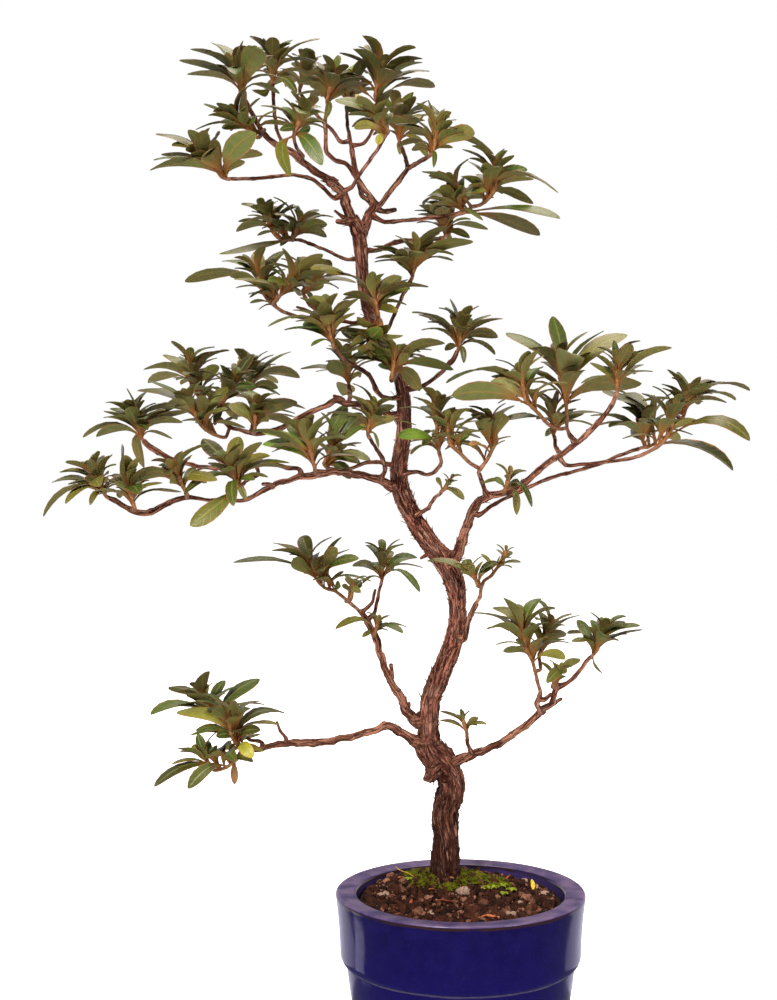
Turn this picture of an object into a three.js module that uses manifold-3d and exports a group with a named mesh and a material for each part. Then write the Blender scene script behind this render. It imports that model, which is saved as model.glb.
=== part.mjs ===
// Satsuki azalea bonsai in a round glazed pot.
// Millimetres, +Z up, origin at the middle of the pot's underside. The tree's front faces -Y.
//
// The tree is laid out on a front elevation: a sheet seen in perspective from one eye point, with a
// place on it written "across,down" in sheet units. at() turns such a place and a depth toward the
// viewer into a point in millimetres. Limbs, shoots and leaf tips are all routes on that sheet.

import * as THREE from 'three';
import { mergeVertices } from 'three/addons/utils/BufferGeometryUtils.js';
import Module from 'manifold-3d';

const wasm = await Module();
wasm.setup();

// ---- Driving dimensions, mm -------------------------------------------------------------------
const POT_HEIGHT = 92;
const RIM_RADIUS = 65;
const MOUTH_RADIUS = 53.5;
const COLLAR_HEIGHT = 37.5;
const FOOT_RADIUS = 47;
const FLOOR_THICKNESS = 8;
const DRAIN = { radius: 5, ring: 25, count: 3, sides: 12 };
const SOIL_EDGE_DROP = 7;
const MOUND = { rise: 8.5, reach: 52, crumb: 0.7, perX: 0.55, perY: 0.62 };
const MOSS = { radius: 27, thickness: 2.4, aside: 3, depthShare: 0.66 };
const TRUNK_SET_DEPTH = 27;
const GAP = 0.3;
const DEPTH_SPREAD = 1.4;
const POT_SIDES = 28;
const COLLAR_FOOT = POT_HEIGHT - COLLAR_HEIGHT;
const LEAF = { thickness: 1.15, slenderness: 0.31, petiole: 0.75, longest: 42, stalk: 0.1 };
const SHOOT = { start: 1.15, base: 1.0, end: 0.75, sides: 4 };
const STEM = { share: 0.32, shortest: 3, longest: 8 };
const SPUR = { reach: 1.2, radius: 1.25, sides: 4 };

// The eye that the front elevation is seen from, and the sheet that it falls on
const SHEET = { middleAcross: 388.5, middleDown: 500, focal: 1700, pitch: THREE.MathUtils.degToRad(2.55) };
const EYE = new THREE.Vector3(-37.4, -874, POT_HEIGHT + 242.7);
const FORWARD = new THREE.Vector3(0, Math.cos(SHEET.pitch), -Math.sin(SHEET.pitch));
const SHEET_UP = new THREE.Vector3(0, Math.sin(SHEET.pitch), Math.cos(SHEET.pitch));
const UP = new THREE.Vector3(0, 0, 1);

// ---- Wood: name, what it grows from, depth of its tip, route as across,down,thickness ----------
const TRUNK_DEPTH = { foot: -15, fork: 6 };
const TRUNK_ROUTE = `445,885,34 446,870,29 446,850,27 446,835,26 444,820,27 445,808,27 449,798,30
  452,788,27 451,778,27 446,768,32 438,758,34 430,747,30 429,735,24 429,720,21 431,700,20 438,680,21
  446,660,21 453,643,20 457,625,19 457,605,19 456,590,20 451,573,22 442,558,22 430,543,20 418,525,20
  407,505,19 401,490,19 399,472,18 401,452,17 404,430,16 404,410,15 403,395,14 400,378,13 394,360,12.5
  384,342,13 374,325,13 367,308,13 364,290,13.5 362,270,14 361,252,15 359,232,15`;
const LIMBS = [
  ['knob', 'trunk', 2, '438,768,16 428,777,15 424,781,9'],
  ['stub_waist', 'trunk', -4, '431,552,5 421,558,3'],
  // crown
  ['leader_left', 'trunk', 10, '352,218,12 346,203,11 341,192,10 336,185,11'],
  ['crown_left', 'leader_left', 12, `325,178,8 312,169,7.5 298,158,8 284,149,8 273,143,7 265,135,6
    258,124,5.5 250,110,5 244,99,4.5`],
  ['crown_peak', 'crown_left', -16, '281,144,4.5 276,128,4 274,105,4 273,85,4'],
  ['crown_front_left', 'crown_left', 30, '303,157,4 297,148,4 294,138,4'],
  ['crown_low_left', 'leader_left', 34, `335,198,5 322,187,4.5 312,179,4.5 295,175,4 280,176,4
    260,178,4 240,179,4 230,179,4`],
  ['crown_front', 'leader_left', 26, '352,187,4.5 360,173,4 370,160,4 378,148,4 384,138,4'],
  ['leader_right', 'trunk', 2, '364,226,11 369,214,10 374,204,9'],
  ['crown_mid', 'leader_right', -6, `370,196,6 363,187,6 357,178,6 350,168,5 345,163,5 335,160,5
    327,153,5 326,140,4.5 325,125,4.5 327,108,4`],
  ['crown_mid_back', 'leader_right', -28, '362,195,5.5 357,175,5 353,158,6 351,145,5 348,130,4 347,112,3.8'],
  ['crown_far_back', 'crown_mid_back', -40, '342,142,4.5 332,130,4 320,119,4 308,105,4 301,94,3.6'],
  ['crown_right_peak', 'crown_mid_back', -18, '364,143,4 371,133,3.8 376,124,3.6 377,108,3.6'],
  ['crown_right', 'leader_right', 8, '378,206,6 388,194,6 398,182,6 405,172,5.5 408,168,5'],
  ['crown_right_front', 'crown_right', 22, '416,164,5 424,159,5 429,156,4.5'],
  ['crown_right_back', 'crown_right', -8, '406,160,4.5 403,150,4.5 400,143,4'],
  ['stub_crown_right', 'leader_right', -4, '382,211,6 395,210,5'],
  ['stub_crown_left', 'leader_left', 4, '346,218,5 335,211,3'],
  ['stub_fork', 'leader_left', 14, '346,222,7 338,222,6'],
  // shoulders
  ['shoulder', 'leader_right', 12, '385,222,5 400,221,4.5 420,219,4 440,217,4.5 458,214,5'],
  ['neck_right', 'trunk', -16, '380,249,5 390,244,5 403,241,6 415,241,4 430,240,4 440,238,4'],
  ['left_high', 'trunk', -24, '345,259,4 332,253,3.6 318,247,3.6 308,243,4'],
  ['neck_front', 'trunk', 18, '388,328,4.5 395,312,4 402,297,4 407,287,4.5 411,280,4.5'],
  ['left_mid', 'trunk', 8, '355,323,4.5 338,320,4 325,318,4 310,317,4 298,316,4 287,313,4'],
  ['left_mid_back', 'left_mid', -12, '318,312,4.5 310,305,4 305,297,4'],
  ['stub_left_mid', 'left_mid', 14, '312,314,3.5 297,307,3'],
  ['left_low_front', 'trunk', 34, `390,398,5 382,396,5 377,391,6 374,384,5 369,375,5 360,369,5
    350,363,4.5 341,356,4 335,348,4`],
  ['right_neck_limb', 'trunk', 16, '420,387,5 432,380,4.5 443,371,5 452,361,6 457,352,5'],
  // left pad
  ['left_pad_back', 'trunk', -24, `390,415,8 378,409,7 362,406,7 348,403,7 336,401,7 322,407,6
    308,413,6 295,421,6 283,427,6 270,431,5 256,434,5 240,430,4.5 230,427,4.5 223,421,4`],
  ['left_pad_peak', 'left_pad_back', -44, '254,420,4 252,408,3.6 250,396,3.4'],
  ['left_round', 'left_pad_back', -38, '350,395,4.5 349,386,4'],
  ['stub_pad', 'left_pad_back', -8, '343,401,5 334,396,4'],
  ['left_main', 'trunk', 38, `390,486,10 380,480,9 368,477,8 352,473,8 335,472,7 318,474,9 300,477,7
    288,480,6 275,485,6 262,491,5.5 250,498,5 240,501,4.5 225,499,4 205,500,4 190,497,5 178,499,6
    166,504,6 156,510,7 146,513,7 136,512,7 126,507,6 117,502,6 109,498,5`],
  ['left_upper', 'left_main', 2, `300,470,5 285,467,5 270,463,5 258,461,5 245,463,4.5 232,467,4.5
    215,468,5 198,466,5 183,463,5 170,459,6 160,453,6 151,448,7 144,441,6`],
  ['left_hanging', 'left_upper', 36, '258,475,4 248,480,4 242,485,4'],
  ['stub_left_main', 'left_main', 22, '272,486,5 263,484,4'],
  ['back_left', 'trunk', -14, '392,465,5 378,462,4.5 365,463,4.5 352,468,4 340,471,4 331,469,4'],
  ['near_trunk', 'left_main', 32, '385,470,5 382,458,5 375,447,4 369,437,4'],
  // right side
  ['pink_twig', 'trunk', 14, '418,472,4.5 428,475,4 436,471,4.5 440,465,4.5'],
  ['waist_twig', 'trunk', 18, '428,508,4.5 434,499,4 441,492,4'],
  ['right_main', 'trunk', 34, `455,556,12 462,540,11 467,525,10 472,512,10 480,500,9 487,496,9
    500,494,8 512,490,8 525,483,8 535,474,7 545,465,7 555,458,7 565,452,6.5 575,444,6 585,436,6
    597,424,6 607,412,5 613,403,5 616,395,5`],
  ['right_inner', 'right_main', 22, '482,483,5 479,474,5'],
  ['right_bud_limb', 'right_main', 12, '556,448,4.5 555,440,4'],
  ['right_upper', 'right_main', 18, '574,441,6 570,435,6'],
  ['right_far', 'right_main', 22, '565,465,4.5 585,464,4 600,463,4 620,460,4 635,457,4'],
  ['right_low', 'right_main', -6, `478,515,5 490,507,4.5 500,501,4 520,492,4 545,480,4 560,475,4
    580,470,4 600,464,4 620,455,4 638,449,4`],
  ['right_shoulder', 'trunk', 12, '464,638,7 467,625,6 471,614,6 476,604,6'],
  ['right_low_limb', 'trunk', 26, `452,763,10 465,757,9 475,753,9 490,748,8 505,740,8 515,733,8
    525,726,8 533,719,8 545,709,8 552,703,7 556,692,7 558,687,8 567,683,5 578,672,5 590,658,4.5`],
  ['right_fork', 'right_low_limb', 22, '537,705,6 540,694,6'],
  ['stub_right_fork', 'right_fork', 18, '544,700,5 551,694,4'],
  ['stub_right_low', 'right_low_limb', 10, '553,703,5 561,699,4'],
  ['foot_twig', 'right_low_limb', 8, '467,742,4.5 467,735,4'],
  // left side, low
  ['left_rise', 'trunk', -26, `415,720,12 405,707,10 397,692,9 390,680,8 385,668,8 381,655,8
    378,645,8 373,632,8 367,620,7 360,612,6`],
  ['stub_rise_high', 'left_rise', -14, '391,676,6 391,665,5'],
  ['stub_rise_low', 'left_rise', -6, '409,712,5 409,703,4'],
  ['rise_twig', 'left_rise', -34, '374,614,4.5 376,605,4 379,592,3.6 381,584,3.4'],
  ['stub_rise_twig', 'left_rise', -18, '372,603,4 375,590,3'],
  ['left_low_limb', 'trunk', 28, `418,742,11 400,732,9 385,725,9 378,729,8 365,733,8 350,737,8
    330,741,8 310,743,9 290,743,8 275,745,7 264,748,6.5 254,750,5`],
  ['left_low_upper', 'left_low_limb', 14, '262,743,4.5 250,740,4 242,734,4 230,727,3.8'],
  ['stub_left_low', 'left_low_limb', 22, '286,738,4 280,731,3.5 277,722,3'],
];

// ---- Leafy sprays: name, what carries it, depth of its base, route of the shoot (its last two
// places are the base of the leaves and where they point), then the leaf tips as across,down,width;
// two more numbers bend a leaf's stalk through a place of its own. A spray on another spray's shoot
// is part of that spray's node.
const SPRAYS = [
  ['crown_left', 'crown_left', 12, '241,95 236,60',
    '213,42,12 241,40,5 190,49,4 179,60,7 210,68,6 264,47,24 226,52,8'],
  ['crown_peak', 'crown_peak', -18, '272,78 272,55',
    '252,37,3 262,38,4 273,37,14 292,39,7 290,47,3 320,40,3 290,75,6 297,93,8 252,90,11,262,104'],
  ['crown_left_side', 'crown_left', 26, '255,136 235,115',
    '217,102,7 203,105,4 208,114,6 241,112,11 196,131,3 222,128,8'],
  ['crown_low_left', 'crown_low_left', 34, '222,177 200,150',
    '189,129,12 215,140,12 157,134,8 161,155,6 153,157,4 150,172,8 255,134,22,219,152 245,162,8'],
  ['crown_far_back', 'crown_far_back', -42, '300,86 305,65', '313,52,13 318,58,3 316,62,6 292,62,8'],
  ['crown_mid', 'crown_mid', -4, '327,100 333,75', '337,54,10 318,62,8 325,120,6 345,90,6 310,84,9'],
  ['crown_mid_back', 'crown_mid_back', -30, '348,104 353,80', '366,58,12 360,62,10 345,70,8 372,82,6'],
  ['crown_front_left', 'crown_front_left', 34, '295,132 303,112',
    '280,130,8 322,165,16,306,130 310,128,8 290,177,15,267,146 282,108,9 325,112,7'],
  ['crown_right_peak', 'crown_right_peak', -16, '375,95 380,70',
    '367,45,9 368,42,5 384,60,8 413,58,8 422,60,5 430,72,4 433,90,7,415,74 365,63,8 297,83,15,350,84'],
  ['crown_front', 'crown_front', 30, '388,131 375,108',
    '344,104,14 355,95,7 375,108,4 357,97,9 335,100,10 355,128,9 378,145,8 392,112,7'],
  ['crown_right_back', 'crown_right_back', -10, '398,137 397,105',
    '378,92,7 400,97,10 413,92,9 428,101,3 423,117,7 433,115,3 434,137,7 400,155,6 428,158,8'],
  ['crown_right_front', 'crown_right_front', 26, '433,153 438,125',
    '440,110,15 475,133,16 495,153,7 427,100,3 453,148,4 433,168,5 412,150,8'],
  ['shoulder', 'shoulder', 14, '466,212 471,207 455,185',
    `438,171,4 422,172,4 460,185,6 430,199,3 490,187,13 483,221,5 540,235,13,502,216
     560,221,7,516,212`],
  ['shoulder_tip', 'spray:shoulder', 20, '480,205 490,197 496,187 495,165',
    '482,165,9 502,165,8 528,168,11 560,190,4 534,180,6 533,205,9'],
  ['neck_right', 'neck_right', -20, '448,234 452,229 450,210',
    '427,212,5 414,211,3 451,207,10 445,227,6 470,238,7 488,231,5 453,246,5'],
  ['neck_front', 'neck_front', 20, '413,273 415,245',
    '427,237,12 413,232,8 395,250,12 373,245,6 395,258,7 375,260,3 447,227,10 473,243,12'],
  ['left_high', 'left_high', -30, '300,240 290,240 280,239 272,231 265,212',
    '242,204,7 258,205,6 272,205,13 238,221,3 236,231,7 280,208,3 294,204,3 294,221,3 257,236,4'],
  ['left_high_side', 'spray:left_high', -18, '293,238 300,222',
    '285,228,9 300,222,6 309,222,6 326,225,11 326,237,10 219,257,7,275,250 280,246,6'],
  ['left_mid', 'left_mid', 12, '276,307 268,300 262,291 255,262',
    '222,261,7 243,255,8 255,251,14 230,276,9 185,284,9 285,250,10 250,304,6 259,310,3'],
  ['left_mid_side', 'spray:left_mid', 28, '279,297 305,265',
    '308,257,17 322,253,12 345,271,12,306,268 325,271,7'],
  ['left_mid_back', 'left_mid_back', -16, '303,290 312,275', '323,277,6 324,285,7 356,284,6 312,300,5'],
  ['left_low_front', 'left_low_front', 38, '331,337 325,310',
    '325,295,13 303,323,15 357,297,8 350,300,8 350,308,6 300,297,6 268,326,3 284,331,3 311,346,4'],
  ['trunk_front', 'trunk', 26, '378,313 372,285',
    '372,272,11 395,275,8 402,277,13 410,289,8 428,289,8 325,275,3 343,294,7 407,305,4 398,312,8'],
  ['trunk_front_low', 'spray:trunk_front', 30, '380,328 372,340',
    '340,330,12 357,317,7 370,350,9 403,335,4 350,345,7 390,345,7'],
  ['trunk_waist', 'trunk', 30, '392,374 396,350',
    `445,343,12,408,344 453,372,9 420,391,15 388,336,8 353,358,5 409,355,9 360,347,9 378,365,6
     352,335,6`],
  ['right_neck', 'right_neck_limb', 18, '460,345 461,312',
    `449,299,3 445,308,6 471,305,9 491,315,4 452,319,6 472,319,7 412,312,4 418,315,3 421,328,3
     503,320,5 497,336,3 498,338,10 495,355,3 445,350,7 464,363,6`],
  ['left_round', 'left_round', -40, '348,379 346,360',
    '342,397,20,346,386 300,368,4 362,373,4 328,366,14 345,345,12'],
  ['left_end', 'left_main', 42, '104,491 92,470',
    '51,481,6 71,472,3 75,461,5 90,459,10 70,489,3 65,503,5 42,516,3 90,505,6 113,455,6 85,478,7'],
  ['left_end_front', 'left_main', 52, '134,505 128,480',
    '125,455,15 140,456,9 126,447,3 115,482,8 146,470,7'],
  ['left_shelf', 'left_main', 46, '184,488 172,465',
    '128,484,12,160,462 166,462,10 218,482,9 196,468,8 170,480,10'],
  ['left_upper_end', 'left_upper', 0, '141,435 134,410',
    `127,388,3 106,401,7 103,413,3 133,402,10 175,408,6 83,438,4 106,430,5 96,437,8 165,420,5
     183,421,7 172,440,3 144,468,9 190,413,6`],
  ['left_pad_top', 'left_pad_back', -8, '226,437 211,433 200,424 188,398',
    '138,392,9 147,383,4 165,403,10 228,388,12 175,395,7 145,412,6 205,395,13 182,388,12'],
  ['left_pad_far', 'left_pad_back', -40, '212,411 204,402 191,384 190,362',
    '163,355,8 143,369,8 189,353,9 215,350,6 229,349,3 220,366,11 202,358,3 148,382,6 213,376,7'],
  ['left_pad_long', 'spray:left_pad_far', -26, '225,400 235,378',
    '222,377,6 234,384,3 205,390,8 253,353,10 256,386,9 237,420,11 215,426,8'],
  ['left_pad_peak', 'left_pad_peak', -46, '250,387 248,365',
    '244,348,7 267,350,4 292,353,3 270,364,12 300,376,9 278,388,9 280,396,3'],
  ['left_pad_mid', 'left_pad_back', -4, '255,427 256,405',
    '235,402,7 228,405,10 297,403,13 304,411,10 277,400,10 300,430,7 270,420,8'],
  ['left_hanging', 'left_hanging', 42, '237,486 222,450',
    `203,440,16 240,437,16 262,442,9 190,526,18,223,506 184,495,7 234,507,12 246,500,7 270,455,8
     290,462,5 255,480,6`],
  ['left_inner', 'left_main', 26, '314,465 306,435',
    '304,417,14 320,418,10 262,443,12 262,432,9 250,432,6'],
  ['left_inner_back', 'back_left', -10, '324,463 340,430',
    '362,413,16 350,417,8 345,404,15 360,463,8 351,479,12 371,460,9'],
  ['near_trunk', 'near_trunk', 34, '368,427 372,412', '395,418,8 358,428,7 345,440,6 378,448,3 390,408,5'],
  ['pink_twig', 'pink_twig', 16, '439,452 437,430 435,395',
    '437,390,11 413,397,4 459,410,9 464,419,3 398,436,13,424,430 411,455,5 458,426,6'],
  ['right_inner', 'right_inner', 24, '487,460 492,450 497,439 490,415',
    '471,413,9 507,414,15 505,440,3 527,412,5 470,446,6'],
  ['right_inner_side', 'spray:right_inner', 32, '470,463 460,453 449,442 447,420',
    '480,430,5 470,434,5 449,425,6'],
  ['right_bud', 'right_bud_limb', 4, '552,428 555,405',
    '547,397,9 558,389,6 506,422,5 573,411,6 584,414,4 603,416,4 545,437,6'],
  ['right_upper', 'right_upper', 12, '567,428 567,418 566,405 563,390 560,355',
    '572,352,28 506,333,12 553,316,15 605,332,4 627,332,16 642,384,14,584,384 533,372,4'],
  ['right_big_leaf', 'spray:right_upper', 42, '560,429 548,424 540,415 530,405 525,399 520,370',
    '452,395,19,502,394 491,383,14 446,383,5 491,376,5 528,350,12 540,351,9'],
  ['right_end', 'right_main', 36, '617,385 616,355',
    '632,344,12 614,340,7 672,346,8 644,365,4 640,352,10 600,350,3 590,362,5'],
  ['right_far_low', 'right_low', -8, '648,447 655,443 650,410',
    '602,393,9 625,393,4 625,397,3 609,425,4 631,430,12 655,395,7 734,470,7,690,438'],
  ['right_far_end', 'right_far', 24, '648,452 660,445 672,428 675,405',
    '668,400,9 685,397,7 693,420,7 698,421,5 680,440,11 749,442,11,716,410'],
  ['right_far_tip', 'spray:right_far_end', 10, '684,415 692,390',
    '678,372,8 662,383,5 700,376,8 711,380,9 736,399,4 750,388,5 697,403,12'],
  ['right_elbow', 'right_main', 30, '505,489 510,475',
    '494,478,6 506,474,6 520,483,8 482,484,3 517,515,6 532,507,4'],
  ['waist_twig', 'waist_twig', 20, '445,489 450,480', '436,478,5 450,483,6 464,500,7 458,494,3'],
  ['left_rise', 'left_rise', -24, '350,603 343,597 335,591 325,588 317,580 305,548',
    `233,565,4 273,542,6 272,552,7 303,536,15 337,548,13 342,537,3 290,561,13 359,559,8 344,572,5
     341,587,10`],
  ['left_rise_low', 'spray:left_rise', -10, '346,601 352,595 353,587',
    '345,578,4 361,582,9 360,592,7 342,585,5'],
  ['rise_twig', 'rise_twig', -36, '383,573 383,560',
    '352,565,8 382,552,10 418,556,9 362,583,3 421,591,5 395,566,6'],
  ['rise_side', 'left_rise', -12, '375,634 378,622',
    '335,628,5 379,620,8 390,615,3 407,626,3 403,634,5 362,637,5'],
  ['right_low_front', 'right_fork', 34, '538,684 536,675 532,660 526,649 520,615',
    `505,597,10 540,597,12 493,607,10 473,614,4 487,628,8 508,626,5 555,607,3 515,641,6 503,651,8
     565,659,11,545,652`],
  ['right_low_back', 'spray:right_low_front', 14, '540,670 539,655 545,642 550,625',
    '566,634,9 543,617,8 580,617,3 530,622,6 560,640,4'],
  ['right_low_end', 'right_low_limb', 28, '598,649 603,632',
    '577,620,10 603,618,8 625,622,10 640,624,6 643,630,3 605,634,14 584,634,4 603,673,4,590,668'],
  ['right_low_bud', 'right_low_limb', 36, '554,682 560,668', '580,658,9 541,662,4 546,684,10 567,670,7'],
  ['right_shoulder', 'right_shoulder', 10, '480,597 481,589 484,581 491,576 497,568 503,562 506,550',
    '481,554,3 512,552,7 521,562,4 500,556,4'],
  ['right_shoulder_low', 'spray:right_shoulder', 20, '477,584 472,572',
    '427,563,7 471,565,8 498,562,9 460,572,4'],
  ['foot_twig', 'foot_twig', 12, '466,731 461,712', '440,711,4 478,718,6 440,721,4 487,725,3 461,709,5'],
  ['left_low_upper', 'left_low_upper', 12, '216,721 210,714 200,690',
    '168,686,9 176,692,5 205,671,15 225,680,10 200,700,12 260,679,12,225,700 190,704,3 150,714,8'],
  ['left_low_end', 'left_low_limb', 38, '242,748 235,742 231,734 228,712',
    '244,709,18 212,710,12 177,714,13 195,729,8 286,712,8 260,730,10 265,722,3 215,737,9 253,757,13,240,742'],
  ['left_low_under', 'spray:left_low_end', 28, '236,760 225,768 214,770 202,755',
    '178,750,5 196,744,6 171,763,3 197,734,10 230,751,6 188,789,13 154,787,10 253,762,3 234,785,6,233,768'],
];

// ---- Sheet geometry ---------------------------------------------------------------------------
const numbers = (text) => text.trim().split(/\s+/).map((place) => place.split(',').map(Number));
const clamp = THREE.MathUtils.clamp;
const lerp = THREE.MathUtils.lerp;
const along = (from, direction, distance) => from.clone().addScaledVector(direction, distance);
const between = (from, to) => to.clone().sub(from);

/** Point in millimetres at a place on the sheet, `depth` mm toward the viewer. */
function at(across, down, depth) {
  const ray = FORWARD.clone();
  ray.x += (across - SHEET.middleAcross) / SHEET.focal;
  ray.addScaledVector(SHEET_UP, (SHEET.middleDown - down) / SHEET.focal);
  return along(EYE, ray, (-depth - EYE.y) / ray.y);
}

/** Millimetres that one sheet unit spans at a point. */
const unitAt = (point) => between(EYE, point).dot(FORWARD) / SHEET.focal;

/** Seeded random numbers from 0 to 1, the same in every run. */
function seeded(seed) {
  let state = seed >>> 0;
  return () => {
    state = (state + 0x6d2b79f5) >>> 0;
    let t = Math.imul(state ^ (state >>> 15), state | 1);
    t ^= t + Math.imul(t ^ (t >>> 7), t | 61);
    return ((t ^ (t >>> 14)) >>> 0) / 4294967296;
  };
}

// ---- Solids -----------------------------------------------------------------------------------
/** Closed solid of a three.js geometry, its seams merged and its collapsed faces left out. */
function solid(geometry) {
  geometry.deleteAttribute('normal');
  geometry.deleteAttribute('uv');
  const merged = mergeVertices(geometry, 1e-4);
  const index = merged.index.array;
  const triangles = [];
  for (let i = 0; i < index.length; i += 3) {
    const [a, b, c] = [index[i], index[i + 1], index[i + 2]];
    if (a !== b && b !== c && c !== a) triangles.push(a, b, c);
  }
  return new wasm.Manifold(new wasm.Mesh({
    numProp: 3,
    vertProperties: new Float32Array(merged.attributes.position.array),
    triVerts: new Uint32Array(triangles),
  }));
}

/** Closed form of rings: place(ring, x, z) sets where each point of a unit cylinder's ring goes. */
function ringForm(sides, rings, place) {
  const geometry = new THREE.CylinderGeometry(1, 1, rings - 1, sides, rings - 1);
  const position = geometry.attributes.position;
  for (let i = 0; i < position.count; i++) {
    const ring = Math.round(position.getY(i) + (rings - 1) / 2);
    const point = place(ring, position.getX(i), position.getZ(i));
    position.setXYZ(i, point.x, point.y, point.z);
  }
  return solid(geometry);
}

/** Directions along a route, and an across direction carried along it without twist. */
function frames(points) {
  const across = new THREE.Vector3(1, 0, 0);
  return points.map((point, i) => {
    const before = points[Math.max(i - 1, 0)];
    const after = points[Math.min(i + 1, points.length - 1)];
    const forward = between(before, after).normalize();
    across.addScaledVector(forward, -across.dot(forward)).normalize();
    return { forward, across: across.clone(), out: across.clone().cross(forward) };
  });
}

/** Closed tube of changing radius along a route. */
function tube(points, radii, sides, relief = () => 1) {
  const frame = frames(points);
  return ringForm(sides, points.length, (ring, x, z) => {
    const radius = radii[ring] * relief(ring, Math.atan2(z, x));
    return along(along(points[ring], frame[ring].across, x * radius), frame[ring].out, z * radius);
  });
}

const joined = (solids) => solids.reduce((whole, piece) => whole.add(piece));

// ---- Wood -------------------------------------------------------------------------------------
const wood = {};
const capsules = [];

/** Nearest place on a carrier's middle line to a place on the sheet. */
function nearest(carrier, across, down) {
  let best = { distance: Infinity };
  for (let i = 0; i + 1 < carrier.sheet.length; i++) {
    const [a, b] = [carrier.sheet[i], carrier.sheet[i + 1]];
    const run = [b[0] - a[0], b[1] - a[1]];
    const share = ((across - a[0]) * run[0] + (down - a[1]) * run[1]) / (run[0] ** 2 + run[1] ** 2 || 1);
    const f = clamp(share, 0, 1);
    const distance = Math.hypot(across - a[0] - f * run[0], down - a[1] - f * run[1]);
    const last = f === 1 && i + 2 === carrier.sheet.length;
    if (distance < best.distance) {
      best = {
        distance,
        sheet: [a[0] + f * run[0], a[1] + f * run[1]],
        point: carrier.points[i].clone().lerp(carrier.points[i + 1], f),
        radius: lerp(carrier.radii[i], carrier.radii[i + 1], f),
        ending: last ? between(carrier.points[i], carrier.points[i + 1]) : null,
      };
    }
  }
  return best;
}

/** A route without the places that lie within half a millimetre of a straight run. */
function thinned(route) {
  const kept = [route[0]];
  for (let i = 1; i + 1 < route.length; i++) {
    const [a, b, p] = [kept[kept.length - 1], route[i + 1], route[i]];
    const run = Math.hypot(b[0] - a[0], b[1] - a[1]);
    const aside = Math.abs((b[0] - a[0]) * (p[1] - a[1]) - (b[1] - a[1]) * (p[0] - a[0])) / run;
    const swell = Math.abs(p[2] - (a[2] + b[2]) / 2);
    if (aside > STRAIGHT.aside || swell > STRAIGHT.swell || run > STRAIGHT.longest) kept.push(p);
  }
  return [...kept, route[route.length - 1]];
}

/** Points and radii of a route whose depth goes evenly from one value to another. */
function layOut(route, fromDepth, toDepth) {
  const lengths = [0];
  for (let i = 1; i < route.length; i++) {
    lengths.push(lengths[i - 1] + Math.hypot(route[i][0] - route[i - 1][0], route[i][1] - route[i - 1][1]));
  }
  const points = route.map(([across, down], i) => {
    return at(across, down, lerp(fromDepth, toDepth, lengths[i] / lengths[route.length - 1]));
  });
  const radii = points.map((point, i) => (route[i][2] * unitAt(point)) / 2);
  return { sheet: route, points, radii };
}

function addCapsules(line, owner) {
  for (let i = 0; i + 1 < line.points.length; i++) {
    const radius = Math.max(line.radii[i], line.radii[i + 1]);
    capsules.push({ a: line.points[i], b: line.points[i + 1], radius, owner });
  }
}

const STRAIGHT = { aside: 1.7, swell: 0.8, longest: 60 };
const ROOT_SWELL = { ofLimb: 1.15, ofCarrier: 1.9 };
const TRUNK_FOOT = { endShare: 0.7, soilShare: 1.08, sheet: [[445, 935, 20], [445, 900, 34]] };
const trunk = layOut(numbers(TRUNK_ROUTE), TRUNK_DEPTH.foot, TRUNK_DEPTH.fork);
const soilTop = trunk.points[0].z;
const rootEnd = trunk.points[0].clone().setZ(soilTop - TRUNK_SET_DEPTH);
trunk.points.unshift(rootEnd, trunk.points[0].clone().setZ(soilTop - TRUNK_SET_DEPTH / 3));
trunk.radii.unshift(trunk.radii[0] * TRUNK_FOOT.endShare, trunk.radii[0] * TRUNK_FOOT.soilShare);
trunk.sheet = [...TRUNK_FOOT.sheet, ...trunk.sheet];
wood.trunk = trunk;
addCapsules(trunk, 'wood');

for (const [name, parent, depth, route] of LIMBS) {
  const places = numbers(route);
  const root = nearest(wood[parent], places[0][0], places[0][1]);
  const widest = (root.radius * ROOT_SWELL.ofCarrier) / unitAt(root.point);
  const start = [...root.sheet, Math.min(places[0][2] * ROOT_SWELL.ofLimb, widest)];
  wood[name] = layOut(thinned([start, ...places]), -root.point.y, depth * DEPTH_SPREAD);
  addCapsules(wood[name], 'wood');
}

const RIB = { broad: 0.07, narrow: 0.05, twist: 0.42, beyond: 8 };

/** Old bark stands in a few twisted ribs that fade out toward the fork. */
function barkRelief(ring, angle) {
  const fade = 1 - ring / (trunk.points.length + RIB.beyond);
  const twist = ring * RIB.twist;
  const narrow = Math.sin(5 * angle - 1.3 * twist);
  return 1 + fade * (RIB.broad * Math.sin(3 * angle + twist) + RIB.narrow * narrow);
}

const TRUNK_SIDES = 8;
const sidesFor = (radius) => (radius > 3.2 ? 6 : radius > 2 ? 5 : 4);
const trunkSolid = tube(trunk.points, trunk.radii, TRUNK_SIDES, barkRelief);
const trunkClearance = tube(
  [along(trunk.points[0], UP, -GAP), ...trunk.points.slice(1, 5)],
  trunk.radii.slice(0, 5).map((radius) => radius + GAP),
  TRUNK_SIDES,
  barkRelief,
);
const woodSolids = [trunkSolid];
for (const [name] of LIMBS) {
  const limb = wood[name];
  woodSolids.push(tube(limb.points, limb.radii, sidesFor(limb.radii[1])));
}

// ---- Shoots -----------------------------------------------------------------------------------
const sprays = {};

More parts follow.
